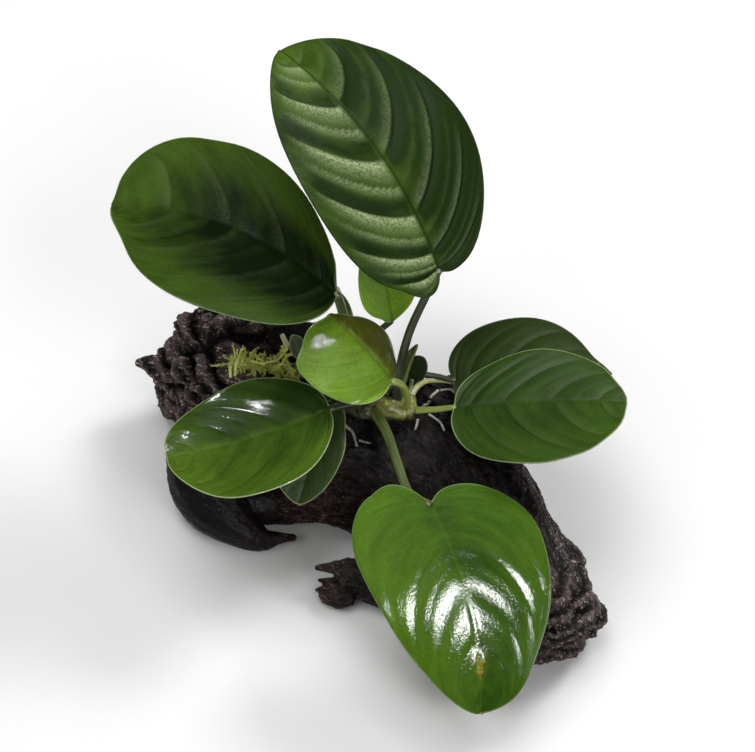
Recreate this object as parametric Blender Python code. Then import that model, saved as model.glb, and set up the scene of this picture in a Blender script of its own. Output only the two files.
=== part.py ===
"""An anubias plant growing on a bent, craggy piece of driftwood, in metres, +Z up.

The seen front of the object faces -Y. The wood stands on the floor plane z = 0, which
cuts it flat underneath. Dimensions below are in millimetres, measured from a point near
the middle of the trunk, and FOOTPRINT_MIDDLE moves the middle of the object's footprint
onto the origin.
"""

import math

import bmesh
import bpy
import numpy as np
from mathutils import Vector, noise
from mathutils.bvhtree import BVHTree

MM = 0.001
GAP = 0.3
FOOTPRINT_MIDDLE = (-2.8, -23.6)

# The wood, as limbs. Each row is a section: x, y, z of its middle, half width, half height.
TRUNK_LIMB = (
    (-70, 28, 22, 14, 25),
    (-58, 23, 23, 20, 26),
    (-40, 10, 23, 22, 26),
    (-20, -4, 23, 23, 27),
    (4, -10, 23, 21, 27),
    (24, -23, 22, 19, 26),
    (39, -44, 20, 17, 24),
    (55, -66, 18, 17, 21),
    (67, -83, 14, 14, 16),
)
CRAG_LIMBS = (
    ((-64, 28, 36, 13, 12), (-70, 36, 42, 11, 10), (-73, 41, 45, 8, 7)),
    ((-70, 28, 26, 12, 11), (-82, 30, 27, 8, 7), (-87, 31, 26, 4.5, 4), (-92, 33, 25.5, 2.6, 2.2)),
    ((-70, 24, 16, 12, 13), (-75, 25, 13, 8, 9), (-76.5, 25, 8, 6, 8)),
    ((-52, 24, 38, 11, 11), (-50, 29, 43, 9, 8), (-48, 33, 46, 6, 5)),
    ((-56, 10, 34, 12, 10), (-63, 12, 37, 8, 7)),
)
# The low web of wood between the trunk and the left branch, and the layered end of the foot.
WEB_LIMB = ((-56, -6, 9, 12, 10), (-42, -12, 8, 11, 10), (-30, -12, 9, 10, 11), (-18, -14, 10, 10, 12))
FOOT_LIMB = ((62, -66, 12, 12, 12), (72, -70, 10, 8.5, 10), (78, -72, 8, 4.5, 7))
LEFT_BRANCH_LIMB = (
    (-54, 8, 20, 18, 20),
    (-62, -4, 18, 16, 18),
    (-62, -15, 15, 13, 15),
    (-55, -23, 11, 11, 12),
    (-47, -29, 7, 7, 8.5),
    (-40, -33, 4.5, 4, 5),
    (-35, -34.5, 4, 2.8, 3.2),
    (-30.5, -34, 4.5, 1.8, 2),
)
FRONT_ROOT_LIMBS = (
    (
        (60, -72, 12, 14, 14),
        (42, -68, 10, 12, 12),
        (24, -62, 8.5, 9, 10.5),
        (6, -55.5, 8, 8, 9.5),
        (-8, -52.5, 7.5, 7, 9),
        (-16, -52.5, 7, 6.5, 8),
    ),
    ((-8, -49.5, 11, 4, 4.5), (-16, -49, 11.8, 3.2, 3.4), (-23.5, -50, 12, 1.2, 1.4)),
    ((-12, -54.5, 5, 5, 6.5), (-19, -55, 4.5, 4.2, 6), (-23.5, -55.5, 4.5, 3.2, 5)),
)
# Long ridges of bark that stand proud of the trunk, as thin limbs along it.
BARK_RIDGE_LIMBS = (
    ((14, 4, 44, 5, 5), (34, -14, 43, 6, 5), (48, -38, 40, 5, 5), (64, -64, 32, 4, 4)),
    ((30, -22, 46, 4, 3.5), (46, -46, 42, 4, 3.5), (62, -70, 34, 3.5, 3)),
    ((-36, 20, 45, 5, 5), (-18, 12, 48, 5, 4.5), (2, 6, 48, 4.5, 4), (16, 2, 46, 4, 4)),
)
TRUNK_SQUARENESS = 3.0

WOOD_VOXEL = 2.0
WOOD_TRIANGLES = 2900
# Upright planes that part the forks: a point on each, its direction and how far it goes.
BRANCH_FORK = (-80.0, 8.0)
BRANCH_FORK_ANGLE = -38.0
BRANCH_FORK_LENGTH = 70.0
ROOT_FORK = (22.0, -49.0)
ROOT_FORK_ANGLE = -8.0

BLADE_THICKNESS = 0.9
STALK_STOPS_SHORT = 2.6
TUBE_SIDES = 6

# Each half of a leaf: half width, reach of its base lobe behind the stalk, swell towards
# the base, narrowing at the tip, angle to which the half rises from the midrib.
LEAVES = {
    "leaf_top": {
        "base": (21, 3, 115), "tip": (-33, 60, 163),
        "left": (33, 15, 0.15, 0.3, 6), "right": (40, 25, 0.05, 0.0, -12),
        "roll": 0, "bow": 9, "bend": 3, "wave": 0.8, "grid": (11, 8),
    },
    "leaf_upper_left": {
        "base": (-14, 0, 105), "tip": (-92, 30, 118),
        "left": (40, 6, 0.0, 0.42, 10), "right": (33, -6, -0.3, -0.5, 6),
        "roll": 0, "bow": 8, "bend": 4, "wave": 0.8, "grid": (11, 8),
    },
    "leaf_young": {
        "base": (5, -13, 74), "tip": (-16, -3, 96),
        "left": (25, 5, -0.25, -0.4, -10), "right": (12, 2, 0.0, 0.1, -40),
        "roll": -10, "bow": 5, "bend": 2, "wave": 0.4, "grid": (10, 8),
    },
    "leaf_left": {
        "base": (-17, -21, 68), "tip": (-73, -36, 60),
        "left": (31, 5, 0.0, 0.0, 15), "right": (21, 2, 0.05, 0.0, 15),
        "roll": 0, "bow": -3, "bend": 0, "wave": 0.8, "grid": (11, 8),
    },
    "leaf_under_left": {
        "base": (-16, -12, 60), "tip": (-28, -45, 44),
        "left": (11, 2, 0.05, 0.2, 10), "right": (16, 2, 0.05, 0.2, 10),
        "roll": 0, "bow": 2, "bend": 0, "wave": 0.3, "grid": (9, 6),
    },
    "leaf_front": {
        "base": (18, -60.5, 66), "tip": (35, -118, 25),
        "left": (30.3, 38, 0.18, 0.1, -8), "right": (29, 52, 0.22, 0.35, -6),
        "roll": 0, "bow": 6, "bend": -4, "wave": 1.2, "grid": (13, 8),
    },
    "leaf_right": {
        "base": (27.5, -16.5, 63), "tip": (87, -22.5, 74),
        "left": (21, 4, 0.0, 0.05, 8), "right": (31, 8, 0.0, 0.05, 8),
        "roll": 0, "bow": 2, "bend": 0, "wave": 0.8, "grid": (11, 8),
    },
    "leaf_back_right": {
        "base": (28, 0, 57), "tip": (86.5, 1, 60),
        "left": (27, 17, 0.05, 0.35, -4), "right": (19, 8, 0.05, 0.1, -2),
        "roll": 0, "bow": 3, "bend": 0, "wave": 0.6, "grid": (12, 8),
    },
    "leaf_back_small": {
        "base": (5, 6, 84), "tip": (-2, 15, 122),
        "left": (16, -20, 0.0, 0.3, 15), "right": (18, -14, 0.0, 0.3, 15),
        "roll": 8, "bow": 1, "bend": 0, "wave": 0.3, "grid": (9, 6),
    },
    "leaf_standing": {
        "base": (-11, 10, 63), "tip": (-14.3, 12.5, 92.5),
        "left": (3, 0, 0.0, 0.3, 15), "right": (4, 0, 0.0, 0.3, 15),
        "roll": 0, "bow": 1, "bend": 0, "wave": 0.0, "grid": (7, 4),
    },
    "leaf_spear": {
        "base": (9, -3, 61), "tip": (14, 0, 78),
        "left": (2.5, 0, 0.0, 0.5, 40), "right": (2.5, 0, 0.0, 0.5, 40),
        "roll": 0, "bow": 0.5, "bend": 0, "wave": 0.0, "grid": (7, 4),
    },
    "leaf_round_small": {
        "base": (12.5, -2.5, 61), "tip": (16.5, 1.5, 69),
        "left": (4.5, 0, 0.0, 0.0, 5), "right": (4.5, 0, 0.0, 0.0, 5),
        "roll": 0, "bow": 0.5, "bend": 0, "wave": 0.0, "grid": (7, 4),
    },
    "leaf_dull_small": {
        "base": (-28, 13, 54), "tip": (-32, 18, 64),
        "left": (4, 0, 0.0, 0.2, 5), "right": (4, 0, 0.0, 0.2, 5),
        "roll": 0, "bow": 0.5, "bend": 0, "wave": 0.0, "grid": (7, 4),
    },
}

# Each stalk: its leaf, radius at the rhizome, radius at the leaf, points from the rhizome up.
STALKS = {
    "stalk_top": ("leaf_top", 1.9, 1.5, ((7, -10, 57), (7.5, -6, 68), (11, -3, 88), (17, -1, 107))),
    "stalk_upper_left": ("leaf_upper_left", 1.9, 1.5, ((-8, -7, 56), (-9, 2, 74), (-12.5, 7.5, 88), (-14.5, 8, 98))),
    "stalk_young": ("leaf_young", 2.2, 1.6, ((8.5, -13, 57), (9.3, -14.3, 65), (8, -14, 71))),
    "stalk_left": ("leaf_left", 1.7, 1.4, ((-6, -12, 57), (-9, -15, 63))),
    "stalk_under_left": ("leaf_under_left", 1.3, 1.1, ((-9, -7, 56), (-12, -8, 59.5))),
    "stalk_front": ("leaf_front", 2.1, 1.7, ((-2, -12, 57), (3, -25, 61), (7, -40, 64.5), (11, -53, 66.5))),
    "stalk_right": ("leaf_right", 1.8, 1.4, ((12.5, -12.5, 56), (19, -14.5, 59))),
    "stalk_back_right": ("leaf_back_right", 1.6, 1.3, ((3, -6, 57), (8, 2, 60), (15, 5, 60), (22, 3, 58.5))),
    "stalk_back_small": ("leaf_back_small", 1.3, 1.1, ((-3, -6, 58), (-3.5, 3, 70), (0.5, 5, 79))),
    "stalk_standing": ("leaf_standing", 1.2, 1.0, ((-14, -3, 54.5), (-12.5, 4, 57.5))),
    "stalk_spear": ("leaf_spear", 1.3, 1.2, ((7, -7.5, 57), (8.5, -4.5, 59.5))),
    "stalk_round_small": ("leaf_round_small", 1.0, 0.8, ((10.5, -8, 57), (11.8, -4.5, 59))),
    "stalk_dull_small": ("leaf_dull_small", 1.0, 0.8, ((-22, 4, 53.5), (-26, 9, 53.5))),
}

# The rhizome creeps over the top of the wood: x, y, z, half width, half height.
RHIZOME_LIMB = (
    (-24, 6, 52.5, 2.2, 2.2),
    (-17, -2, 53.5, 3.2, 3.0),
    (-9, -8, 54.5, 4.6, 4.2),
    (-1, -10.5, 55, 4.8, 4.4),
    (7, -11.5, 55.5, 4.6, 4.2),
    (13, -12.5, 56, 3.6, 3.4),
)
RHIZOME_KNOBS = ((-4, -13.5, 57, 3.2), (2.5, -13, 58, 3.4), (8, -14, 57, 3.0), (11, -9, 57, 2.8), (-12, -9, 55, 3.0))
BUD_LIMB = ((2, -12, 58, 3.0, 3.0), (5.5, -14.5, 58.5, 2.6, 2.6), (10, -15.5, 57.5, 2.0, 2.0))

YOUNG_SHEATH = (1.1, 0.7, ((-31.4, 16.4, 52), (-33.2, 18.2, 55), (-35, 20, 59)))
# Each root: radius at its start, radius at its tip, points that lie on the wood (x, y) from
# the rhizome outwards, and height at which it hangs clear of it.
ROOTS = {
    "root_front": (0.8, 0.5, ((-11.7, -14.5), (-9, -17), (-8, -20), (-7.5, -23))),
    "root_front_fork": (0.5, 0.4, ((-6.5, -19.5), (-4.5, -20), (-2.5, -20))),
    "root_right_upper": (0.7, 0.5, ((16, -6), (19, -4.5), (22, -1.5))),
    "root_right_middle": (0.6, 0.4, ((18.5, -9), (22, -12), (24, -16))),
    "root_right_lower": (0.7, 0.5, ((23, -1.5), (26, 0), (28, -1.5))),
}
ROOT_PALE_ARCH = (1.5, 0.7, ((12, -7, 57.5), (14.6, -3.5, 58.8), (18.3, 0, 57.2), (22.7, 1.6, 55), (27.1, 2.4, 53)))
ROOT_HANGING = (0.5, 0.35, ((14.5, -15.6, 54.8), (14, -16.6, 52.5), (13.4, -17, 50.5)))

MOSS_LEFT = ((-53, 13, 46, 3, 3), (-48, 13.5, 48, 4, 3.6), (-42.5, 14, 49.5, 3.6, 3.2))
MOSS_RIGHT = ((-38, 13, 50, 4, 3.6), (-33, 11, 51, 4.6, 4), (-29, 8, 50, 4, 3.5))

COLOURS = {
    "driftwood": ((0.022, 0.015, 0.012), 0.55),
    "leaf_green": ((0.045, 0.12, 0.012), 0.3),
    "young_leaf": ((0.2, 0.36, 0.03), 0.3),
    "stalk_green": ((0.12, 0.17, 0.03), 0.45),
    "rhizome_green": ((0.3, 0.38, 0.06), 0.5),
    "root_pale": ((0.5, 0.48, 0.36), 0.7),
    "moss": ((0.3, 0.36, 0.07), 0.9),
}


def material(name):
    """The material of this name, made once."""
    found = bpy.data.materials.get(name)
    if found:
        return found
    colour, roughness = COLOURS[name]
    made = bpy.data.materials.new(name)
    made.use_nodes = True
    shader = made.node_tree.nodes["Principled BSDF"]
    shader.inputs["Base Color"].default_value = (*colour, 1.0)
    shader.inputs["Roughness"].default_value = roughness
    return made


def add_object(name, points, faces, slot, smooth=True):
    """A mesh object from points in millimetres."""
    points = np.asarray(points, float) - np.array([*FOOTPRINT_MIDDLE, 0.0])
    mesh = bpy.data.meshes.new(name)
    mesh.from_pydata((points * MM).tolist(), [], [list(face) for face in faces])
    mesh.update()
    obj = bpy.data.objects.new(name, mesh)
    bpy.context.scene.collection.objects.link(obj)
    own = bmesh.new()
    own.from_mesh(mesh)
    bmesh.ops.recalc_face_normals(own, faces=own.faces)
    if own.calc_volume(signed=True) < 0:
        bmesh.ops.reverse_faces(own, faces=own.faces)
    own.to_mesh(mesh)
    own.free()
    if smooth:
        mesh.shade_smooth()
    obj.data.materials.append(material(slot))
    return obj


def baked(obj):
    """Replaces the object's mesh by what its modifiers make of it."""
    graph = bpy.context.evaluated_depsgraph_get()
    mesh = bpy.data.meshes.new_from_object(obj.evaluated_get(graph), depsgraph=graph)
    obj.modifiers.clear()
    obj.data = mesh
    return obj


def unit(vector):
    return vector / np.linalg.norm(vector)


def smooth_path(points, steps):
    """A smooth curve through the points, with this many steps between each two."""
    points = np.asarray(points, float)
    ends = np.vstack([2 * points[0] - points[1], points, 2 * points[-1] - points[-2]])
    found = []
    for i in range(1, len(ends) - 2):
        for step in range(steps):
            u = step / steps
            a, b, c, d = ends[i - 1:i + 3]
            found.append(
                0.5 * (2 * b + (c - a) * u + (2 * a - 5 * b + 4 * c - d) * u ** 2
                       + (3 * b - a - 3 * c + d) * u ** 3)
            )
    found.append(ends[-2])
    return np.array(found)


def tube(path, wide, high, sides, squareness=2.0):
    """Points and faces of a closed tube along the path, its sections wide and high. A
    squareness of 2 gives ellipses, and more gives boxier sections."""
    path = np.asarray(path, float)
    wide = np.broadcast_to(wide, len(path))
    high = np.broadcast_to(high, len(path))
    along = np.gradient(path, axis=0)
    points = []
    across = None
    for place, direction, a, b in zip(path, along, wide, high):
        direction = unit(direction)
        if across is None:
            first = np.cross(direction, [0.0, 0, 1.0])
            across = unit(first) if np.linalg.norm(first) > 0.05 else unit(np.cross(direction, [1.0, 0, 0]))
        across = unit(across - direction * (across @ direction))
        up = np.cross(across, direction)
        for k in range(sides):
            cos = math.cos(2 * math.pi * k / sides)
            sin = math.sin(2 * math.pi * k / sides)
            cos = math.copysign(abs(cos) ** (2 / squareness), cos)
            sin = math.copysign(abs(sin) ** (2 / squareness), sin)
            points.append(place + across * cos * a + up * sin * b)
    faces = []
    for i in range(len(path) - 1):
        for k in range(sides):
            n = (k + 1) % sides
            faces.append((i * sides + k, i * sides + n, (i + 1) * sides + n, (i + 1) * sides + k))
    last = (len(path) - 1) * sides
    points.append(path[0] - unit(along[0]) * min(wide[0], high[0]) * 0.6)
    points.append(path[-1] + unit(along[-1]) * min(wide[-1], high[-1]) * 0.6)
    for k in range(sides):
        n = (k + 1) % sides
        faces.append((n, k, len(points) - 2))
        faces.append((last + k, last + n, len(points) - 1))
    return np.array(points), faces


def limb(rows, steps=4, sides=14, flutes=0.0, squareness=2.0):
    """A closed tapering limb through sections (x, y, z, half width, half height)."""
    rows = smooth_path(rows, steps)
    points, faces = tube(rows[:, :3], rows[:, 3], rows[:, 4], sides, squareness)
    if flutes:
        middle = np.repeat(rows[:, :3], sides, axis=0)
        body = points[:len(middle)]
        turn = np.tile(np.arange(sides), len(rows)) * 2 * math.pi / sides
        run = np.repeat(np.arange(len(rows)), sides)
        grown = 1 + flutes * np.sin(5 * turn + 0.25 * run) + 0.6 * flutes * np.sin(9 * turn - 0.4 * run)
        points[:len(middle)] = middle + (body - middle) * grown[:, None]
    return points, faces


def joined(shapes):
    """One list of points and faces from several."""
    points = []
    faces = []
    for own_points, own_faces in shapes:
        start = len(points)
        points.extend(own_points)
        faces.extend(tuple(start + k for k in face) for face in own_faces)
    return np.array(points), faces


def remeshed(obj, voxel):
    """Fuses overlapping closed shapes of the object into one skin."""
    remesh = obj.modifiers.new("Fuse", "REMESH")
    remesh.mode = "VOXEL"
    remesh.voxel_size = voxel * MM
    return baked(obj)


def grain_direction(place):
    """Unit direction of the wood's grain at this place: it follows the bend of the trunk."""
    angle = np.interp(place[0], (-80, -30, 15, 45, 70), (-25, -28, -38, -58, -62))
    return math.cos(math.radians(angle)), math.sin(math.radians(angle))


def bark_height(place):
    """How far the bark stands out here, in millimetres: ridges along the grain and lumps."""
    x, y, z = place
    cos, sin = grain_direction(place)
    along = x * cos + y * sin
    across = y * cos - x * sin
    crag = min(max((-38 - x) / 14, 0), 1) * min(max((y + 6) / 12, 0), 1)
    ridges = noise.ridged_multi_fractal(
        Vector((along * 0.018, across * 0.085, z * 0.085)), 0.9, 2.1, 4, 1.0, 1.8)
    chunks = noise.ridged_multi_fractal(
        Vector((x * 0.05 + 7, y * 0.05, z * 0.11)), 0.8, 2.2, 4, 1.0, 2.0)
    lumps = noise.noise(Vector((x * 0.045, y * 0.045, z * 0.05 + 3)))
    rough = 2.0 * (ridges - 1.1) * (1 - crag) + 3.4 * (chunks - 1.1) * crag
    smooth_lobe = min(max((-2 - y) / 10, 0), 1) * min(max((-30 - x) / 8, 0), 1)
    front_root = min(max((-46 - y) / 6, 0), 1) * min(max((34 - x) / 12, 0), 1)
    calm = 1 - 0.75 * smooth_lobe - 0.5 * front_root
    return rough * calm + 1.6 * lumps * (1 - 0.4 * smooth_lobe)


def roughened(obj):
    """Moves the skin of the wood out and in by its bark."""
    mesh = obj.data
    count = len(mesh.vertices)
    places = np.empty(count * 3)
    mesh.vertices.foreach_get("co", places)
    places = places.reshape(-1, 3)
    normals = np.array([vertex.normal[:] for vertex in mesh.vertices])
    middle = np.array([*FOOTPRINT_MIDDLE, 0.0])
    heights = np.array([bark_height(place) for place in places / MM + middle])
    places = places + normals * heights[:, None] * MM
    mesh.vertices.foreach_set("co", places.ravel())
    mesh.update()


def box(name, low, high, turn=0.0, about=(0.0, 0.0)):
    """A closed box used as a cutter, turned about the upright line through a point."""
    corners = [(x, y, z) for x in (low[0], high[0]) for y in (low[1], high[1]) for z in (low[2], high[2])]
    cos = math.cos(math.radians(turn))
    sin = math.sin(math.radians(turn))
    points = [
        (about[0] + (x * cos - y * sin), about[1] + (x * sin + y * cos), z) for x, y, z in corners
    ]
    faces = ((0, 1, 3, 2), (4, 6, 7, 5), (0, 4, 5, 1), (2, 3, 7, 6), (0, 2, 6, 4), (1, 5, 7, 3))
    made = add_object(name, points, faces, "driftwood", smooth=False)
    made.hide_render = True
    made.display_type = "WIRE"
    return made


def combined(obj, other, operation):
    """The object after an exact Boolean with another."""
    cut = obj.modifiers.new(operation.title(), "BOOLEAN")
    cut.operation = operation
    cut.solver = "EXACT"
    cut.object = other
    return baked(obj)


def copied(obj, name):
    made = bpy.data.objects.new(name, obj.data.copy())
    bpy.context.scene.collection.objects.link(made)
    return made


def grown(obj, name, by):
    """A hidden copy of the object that is larger by this many millimetres all round."""
    made = copied(obj, name)
    places = np.array([vertex.co[:] for vertex in made.data.vertices])
    normals = np.array([vertex.normal[:] for vertex in made.data.vertices])
    made.data.vertices.foreach_set("co", (places + normals * by * MM).ravel())
    made.data.update()
    made.hide_render = True
    made.display_type = "WIRE"
    return made


def largest_body(obj):
    """Drops the crumbs that a cut leaves beside the main body."""
    own = bmesh.new()
    own.from_mesh(obj.data)
    left = set(own.faces)
    bodies = []
    while left:
        body = set()
        reach = [left.pop()]
        while reach:
            face = reach.pop()
            body.add(face)
            for edge in face.edges:
                for beside in edge.link_faces:
                    if beside in left:
                        left.remove(beside)
                        reach.append(beside)
        bodies.append(body)
    bodies.sort(key=len)
    crumbs = [face for body in bodies[:-1] for face in body]
    bmesh.ops.delete(own, geom=crumbs, context="FACES")
    own.to_mesh(obj.data)
    own.free()


def make_wood():
    """The driftwood as one skin, then parted at its forks with a narrow gap."""
    limbs = [limb(TRUNK_LIMB, sides=20, flutes=0.05, squareness=TRUNK_SQUARENESS), limb(LEFT_BRANCH_LIMB)]
    lesser = (*CRAG_LIMBS, WEB_LIMB, FOOT_LIMB, *FRONT_ROOT_LIMBS, *BARK_RIDGE_LIMBS)
    limbs += [limb(rows, sides=10) for rows in lesser]
    points, faces = joined(limbs)
    wood = add_object("driftwood_trunk", points, faces, "driftwood")
    remeshed(wood, WOOD_VOXEL)
    roughened(wood)
    thin = wood.modifiers.new("Fewer", "DECIMATE")
    thin.ratio = WOOD_TRIANGLES / (2 * len(wood.data.polygons))
    thin.use_collapse_triangulate = True
    baked(wood)
    combined(wood, box("below_floor", (-200, -200, -80), (200, 200, 0)), "DIFFERENCE")
    largest_body(wood)

    branch_box, branch_gap = [
        box(f"branch_side_{gap:g}", (-40, -60, -10), (BRANCH_FORK_LENGTH, gap, 120), BRANCH_FORK_ANGLE, BRANCH_FORK)
        for gap in (0, GAP)
    ]
    root_box, root_gap = [
        box(f"root_side_{gap:g}", (-90, -60, -10), (gap, gap, 60), ROOT_FORK_ANGLE, ROOT_FORK)
        for gap in (0, GAP)
    ]
    left_branch = copied(wood, "driftwood_left_branch")
    front_root = copied(wood, "driftwood_front_root")
    combined(left_branch, branch_box, "INTERSECT")
    combined(front_root, root_box, "INTERSECT")
    combined(wood, branch_gap, "DIFFERENCE")
    combined(wood, root_gap, "DIFFERENCE")
    for piece in (wood, left_branch, front_root):
        largest_body(piece)
        piece.data.shade_smooth()
        piece.data.materials.clear()
        piece.data.materials.append(material("driftwood"))
    return wood, left_branch, front_root


def blade_frame(leaf):
    """The leaf's base, its direction, its right side, its upper side and its length."""
    base = np.array(leaf["base"], float)
    reach = np.array(leaf["tip"], float) - base
    length = np.linalg.norm(reach)
    along = reach / length
    up = unit(np.array([0, 0, 1.0]) - along * along[2])
    side = np.cross(along, up)
    roll = math.radians(leaf["roll"])
    turned_up = up * math.cos(roll) + side * math.sin(roll)
    turned_side = side * math.cos(roll) - up * math.sin(roll)
    return base, along, turned_side, turned_up, length


def blade_points(leaf, run, across):
    """Places on the blade. run goes from 0 at the base to 1 at the tip round the outline,
    and across from -1 at the left margin over 0 at the midrib to 1 at the right margin."""
    base, along, side, up, length = blade_frame(leaf)
    turn = math.pi * run
    reach = (1 - np.cos(turn)) / 2
    right = across > 0
    half, lobe, swell, narrow, rise = [
        np.where(right, on_right, on_left) for on_left, on_right in zip(leaf["left"], leaf["right"])
    ]
    margin_x = length * reach - lobe * np.sin(turn) * (1 - run) ** 4
    margin_y = half * np.sin(turn) * (1 + swell * np.cos(turn)) * (1 - narrow * reach ** 6)
    midrib_x = length * reach ** 1.4
    out = np.abs(across)
    x = midrib_x + (margin_x - midrib_x) * out ** 1.35
    y = margin_y * out
    part = x / length
    hump = 4 * part * (1 - part)
    z = leaf["bow"] * hump + y * np.sin(np.radians(rise))
    z = z + leaf["wave"] * out ** 3 * np.sin(5 * turn + np.where(right, 0.7, 0.0))
    y = y * np.cos(np.radians(rise)) * np.where(right, 1.0, -1.0) + leaf["bend"] * hump
    return base + x[:, None] * along + y[:, None] * side + z[:, None] * up


def make_blade(name, leaf, slot):
    """A leaf blade as a thin closed solid."""
    rows, columns = leaf["grid"]
    run = np.repeat(np.arange(1, rows) / rows, columns + 1)
    across = np.tile(np.linspace(-1, 1, columns + 1), rows - 1)
    points = blade_points(leaf, run, across).tolist()
    faces = []
    wide = columns + 1
    for i in range(rows - 2):
        for k in range(columns):
            faces.append((i * wide + k, i * wide + k + 1, (i + 1) * wide + k + 1, (i + 1) * wide + k))
    points += blade_points(leaf, np.array([0.0, 1.0]), np.array([0.0, 0.0])).tolist()
    base = len(points) - 2
    tip = len(points) - 1
    last = (rows - 2) * wide
    for k in range(columns):
        faces.append((base, k + 1, k))
        faces.append((tip, last + k, last + k + 1))
    upper = np.array(points)
    normals = np.zeros_like(upper)
    for face in faces:
        corner = upper[list(face)]
        normal = np.cross(corner[1] - corner[0], corner[2] - corner[0])
        for k in face:
            normals[k] += normal
    normals /= np.linalg.norm(normals, axis=1)[:, None]
    half = normals * BLADE_THICKNESS / 2
    count = len(upper)
    points = np.vstack([upper + half, upper - half])
    solid = list(faces) + [tuple(count + k for k in reversed(face)) for face in faces]
    rim = [base] + [i * wide for i in range(rows - 1)] + [tip]
    rim += [i * wide + columns for i in reversed(range(rows - 1))]
    for k, here in enumerate(rim):
        there = rim[(k + 1) % len(rim)]
        solid.append((here, there, count + there, count + here))
    return add_object(name, points, solid, slot)


def keep_clear(obj, others):
    """Cuts the object back from each of the others that it runs into, leaving a gap."""
    for other in others:
        larger = grown(other, other.name + "_with_gap", GAP + 0.1)
        graph = bpy.context.evaluated_depsgraph_get()
        if BVHTree.FromObject(obj, graph).overlap(BVHTree.FromObject(larger, graph)):
            combined(obj, larger, "DIFFERENCE")
        bpy.data.objects.remove(larger)
    largest_body(obj)
    return obj


def make_stalk(name, leaf, start, end, points):
    """A leaf stalk from inside the rhizome to just short of the blade."""
    path = smooth_path([*points, leaf["base"]], 3)
    steps = np.linalg.norm(np.diff(path, axis=0), axis=1)
    left = steps.sum() - STALK_STOPS_SHORT
    kept = [path[0]]
    for place, step in zip(path[1:], steps):
        if step > left:
            kept.append(kept[-1] + (place - kept[-1]) * left / step)
            break
        kept.append(place)
        left -= step
    radius = np.linspace(start, end, len(kept))
    points, faces = tube(kept, radius, radius, TUBE_SIDES)
    return add_object(name, points, faces, "stalk_green")


def height_on(tree, x, y):
    """Height of the wood's surface at a place, in millimetres."""
    start = Vector(((x - FOOTPRINT_MIDDLE[0]) * MM, (y - FOOTPRINT_MIDDLE[1]) * MM, 0.2))
    hit = tree.ray_cast(start, Vector((0, 0, -1)))[0]
    return hit.z / MM


def make_lying_root(name, start, end, places, tree):
    """A thin root that lies on the wood, a gap above it."""
    flat = smooth_path([(x, y, 0) for x, y in places], 3)
    radius = np.linspace(start, end, len(flat))
    path = [
        (x, y, max(height_on(tree, x + dx, y + dy) for dx in (-1, 0, 1) for dy in (-1, 0, 1)) + r + GAP)
        for (x, y, _), r in zip(flat, radius)
    ]
    points, faces = tube(path, radius, radius, 6)
    return add_object(name, points, faces, "root_pale")


def make_free_root(name, start, end, places, slot="root_pale"):
    """A thin root or strand that stands clear of the wood."""
    path = smooth_path(places, 3)
    radius = np.linspace(start, end, len(path))
    points, faces = tube(path, radius, radius, 6)
    return add_object(name, points, faces, slot)


def ball(middle, radius):
    """Points and faces of a small round knob."""
    own = bmesh.new()
    bmesh.ops.create_icosphere(own, subdivisions=2, radius=radius)
    points = np.array([vertex.co[:] for vertex in own.verts]) + np.array(middle, float)
    faces = [tuple(vertex.index for vertex in face.verts) for face in own.faces]
    own.free()
    return points, faces


def make_rhizome():
    """The knobbly creeping stem, fused from its limb, its knobs and its bud."""
    shapes = [limb(RHIZOME_LIMB, sides=10), limb(BUD_LIMB, sides=10)]
    shapes += [ball((x, y, z), radius) for x, y, z, radius in RHIZOME_KNOBS]
    points, faces = joined(shapes)
    rhizome = add_object("rhizome", points, faces, "rhizome_green")
    remeshed(rhizome, 1.1)
    thin = rhizome.modifiers.new("Fewer", "DECIMATE")
    thin.ratio = 0.13
    thin.use_collapse_triangulate = True
    baked(rhizome)
    rhizome.data.shade_smooth()
    rhizome.data.materials.clear()
    rhizome.data.materials.append(material("rhizome_green"))
    return rhizome


def make_moss(name, rows):
    """A low uneven tuft that lies in a hollow of the wood."""
    points, faces = limb(rows, steps=3, sides=10, flutes=0.12)
    return add_object(name, points, faces, "moss")


def main():
    for obj in list(bpy.data.objects):
        bpy.data.objects.remove(obj)
    wood, left_branch, front_root = make_wood()
    tree = BVHTree.FromObject(wood, bpy.context.evaluated_depsgraph_get())
    rhizome = keep_clear(make_rhizome(), [wood])
    blades = {}
    for name, leaf in LEAVES.items():
        blades[name] = make_blade(name, leaf, "young_leaf" if name == "leaf_young" else "leaf_green")
    grown_parts = [wood, rhizome, *blades.values()]
    for name, (leaf, start, end, points) in STALKS.items():
        stalk = make_stalk(name, LEAVES[leaf], start, end, points)
        grown_parts.append(keep_clear(stalk, grown_parts))
    strands = [make_lying_root(name, *root, tree) for name, root in ROOTS.items()]
    strands.append(make_free_root("root_pale_arch", *ROOT_PALE_ARCH))
    strands.append(make_free_root("root_hanging", *ROOT_HANGING))
    strands.append(make_free_root("young_sheath", *YOUNG_SHEATH, "rhizome_green"))
    strands.append(make_moss("moss_left", MOSS_LEFT))
    strands.append(make_moss("moss_right", MOSS_RIGHT))
    for strand in strands:
        grown_parts.append(keep_clear(strand, grown_parts))


main()
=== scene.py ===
"""Looks of an anubias plant that grows over a bent piece of dark driftwood.

Every piece is made from the same sizes as the solids that it stands for. Dimensions are in
millimetres, measured from a point near the middle of the trunk, and ORIGIN is where they have
the frame's origin, the middle of the object's footprint.
"""

import math

import bmesh
import bpy
import numpy as np
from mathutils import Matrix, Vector, noise
from mathutils.bvhtree import BVHTree
from mathutils.kdtree import KDTree


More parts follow.
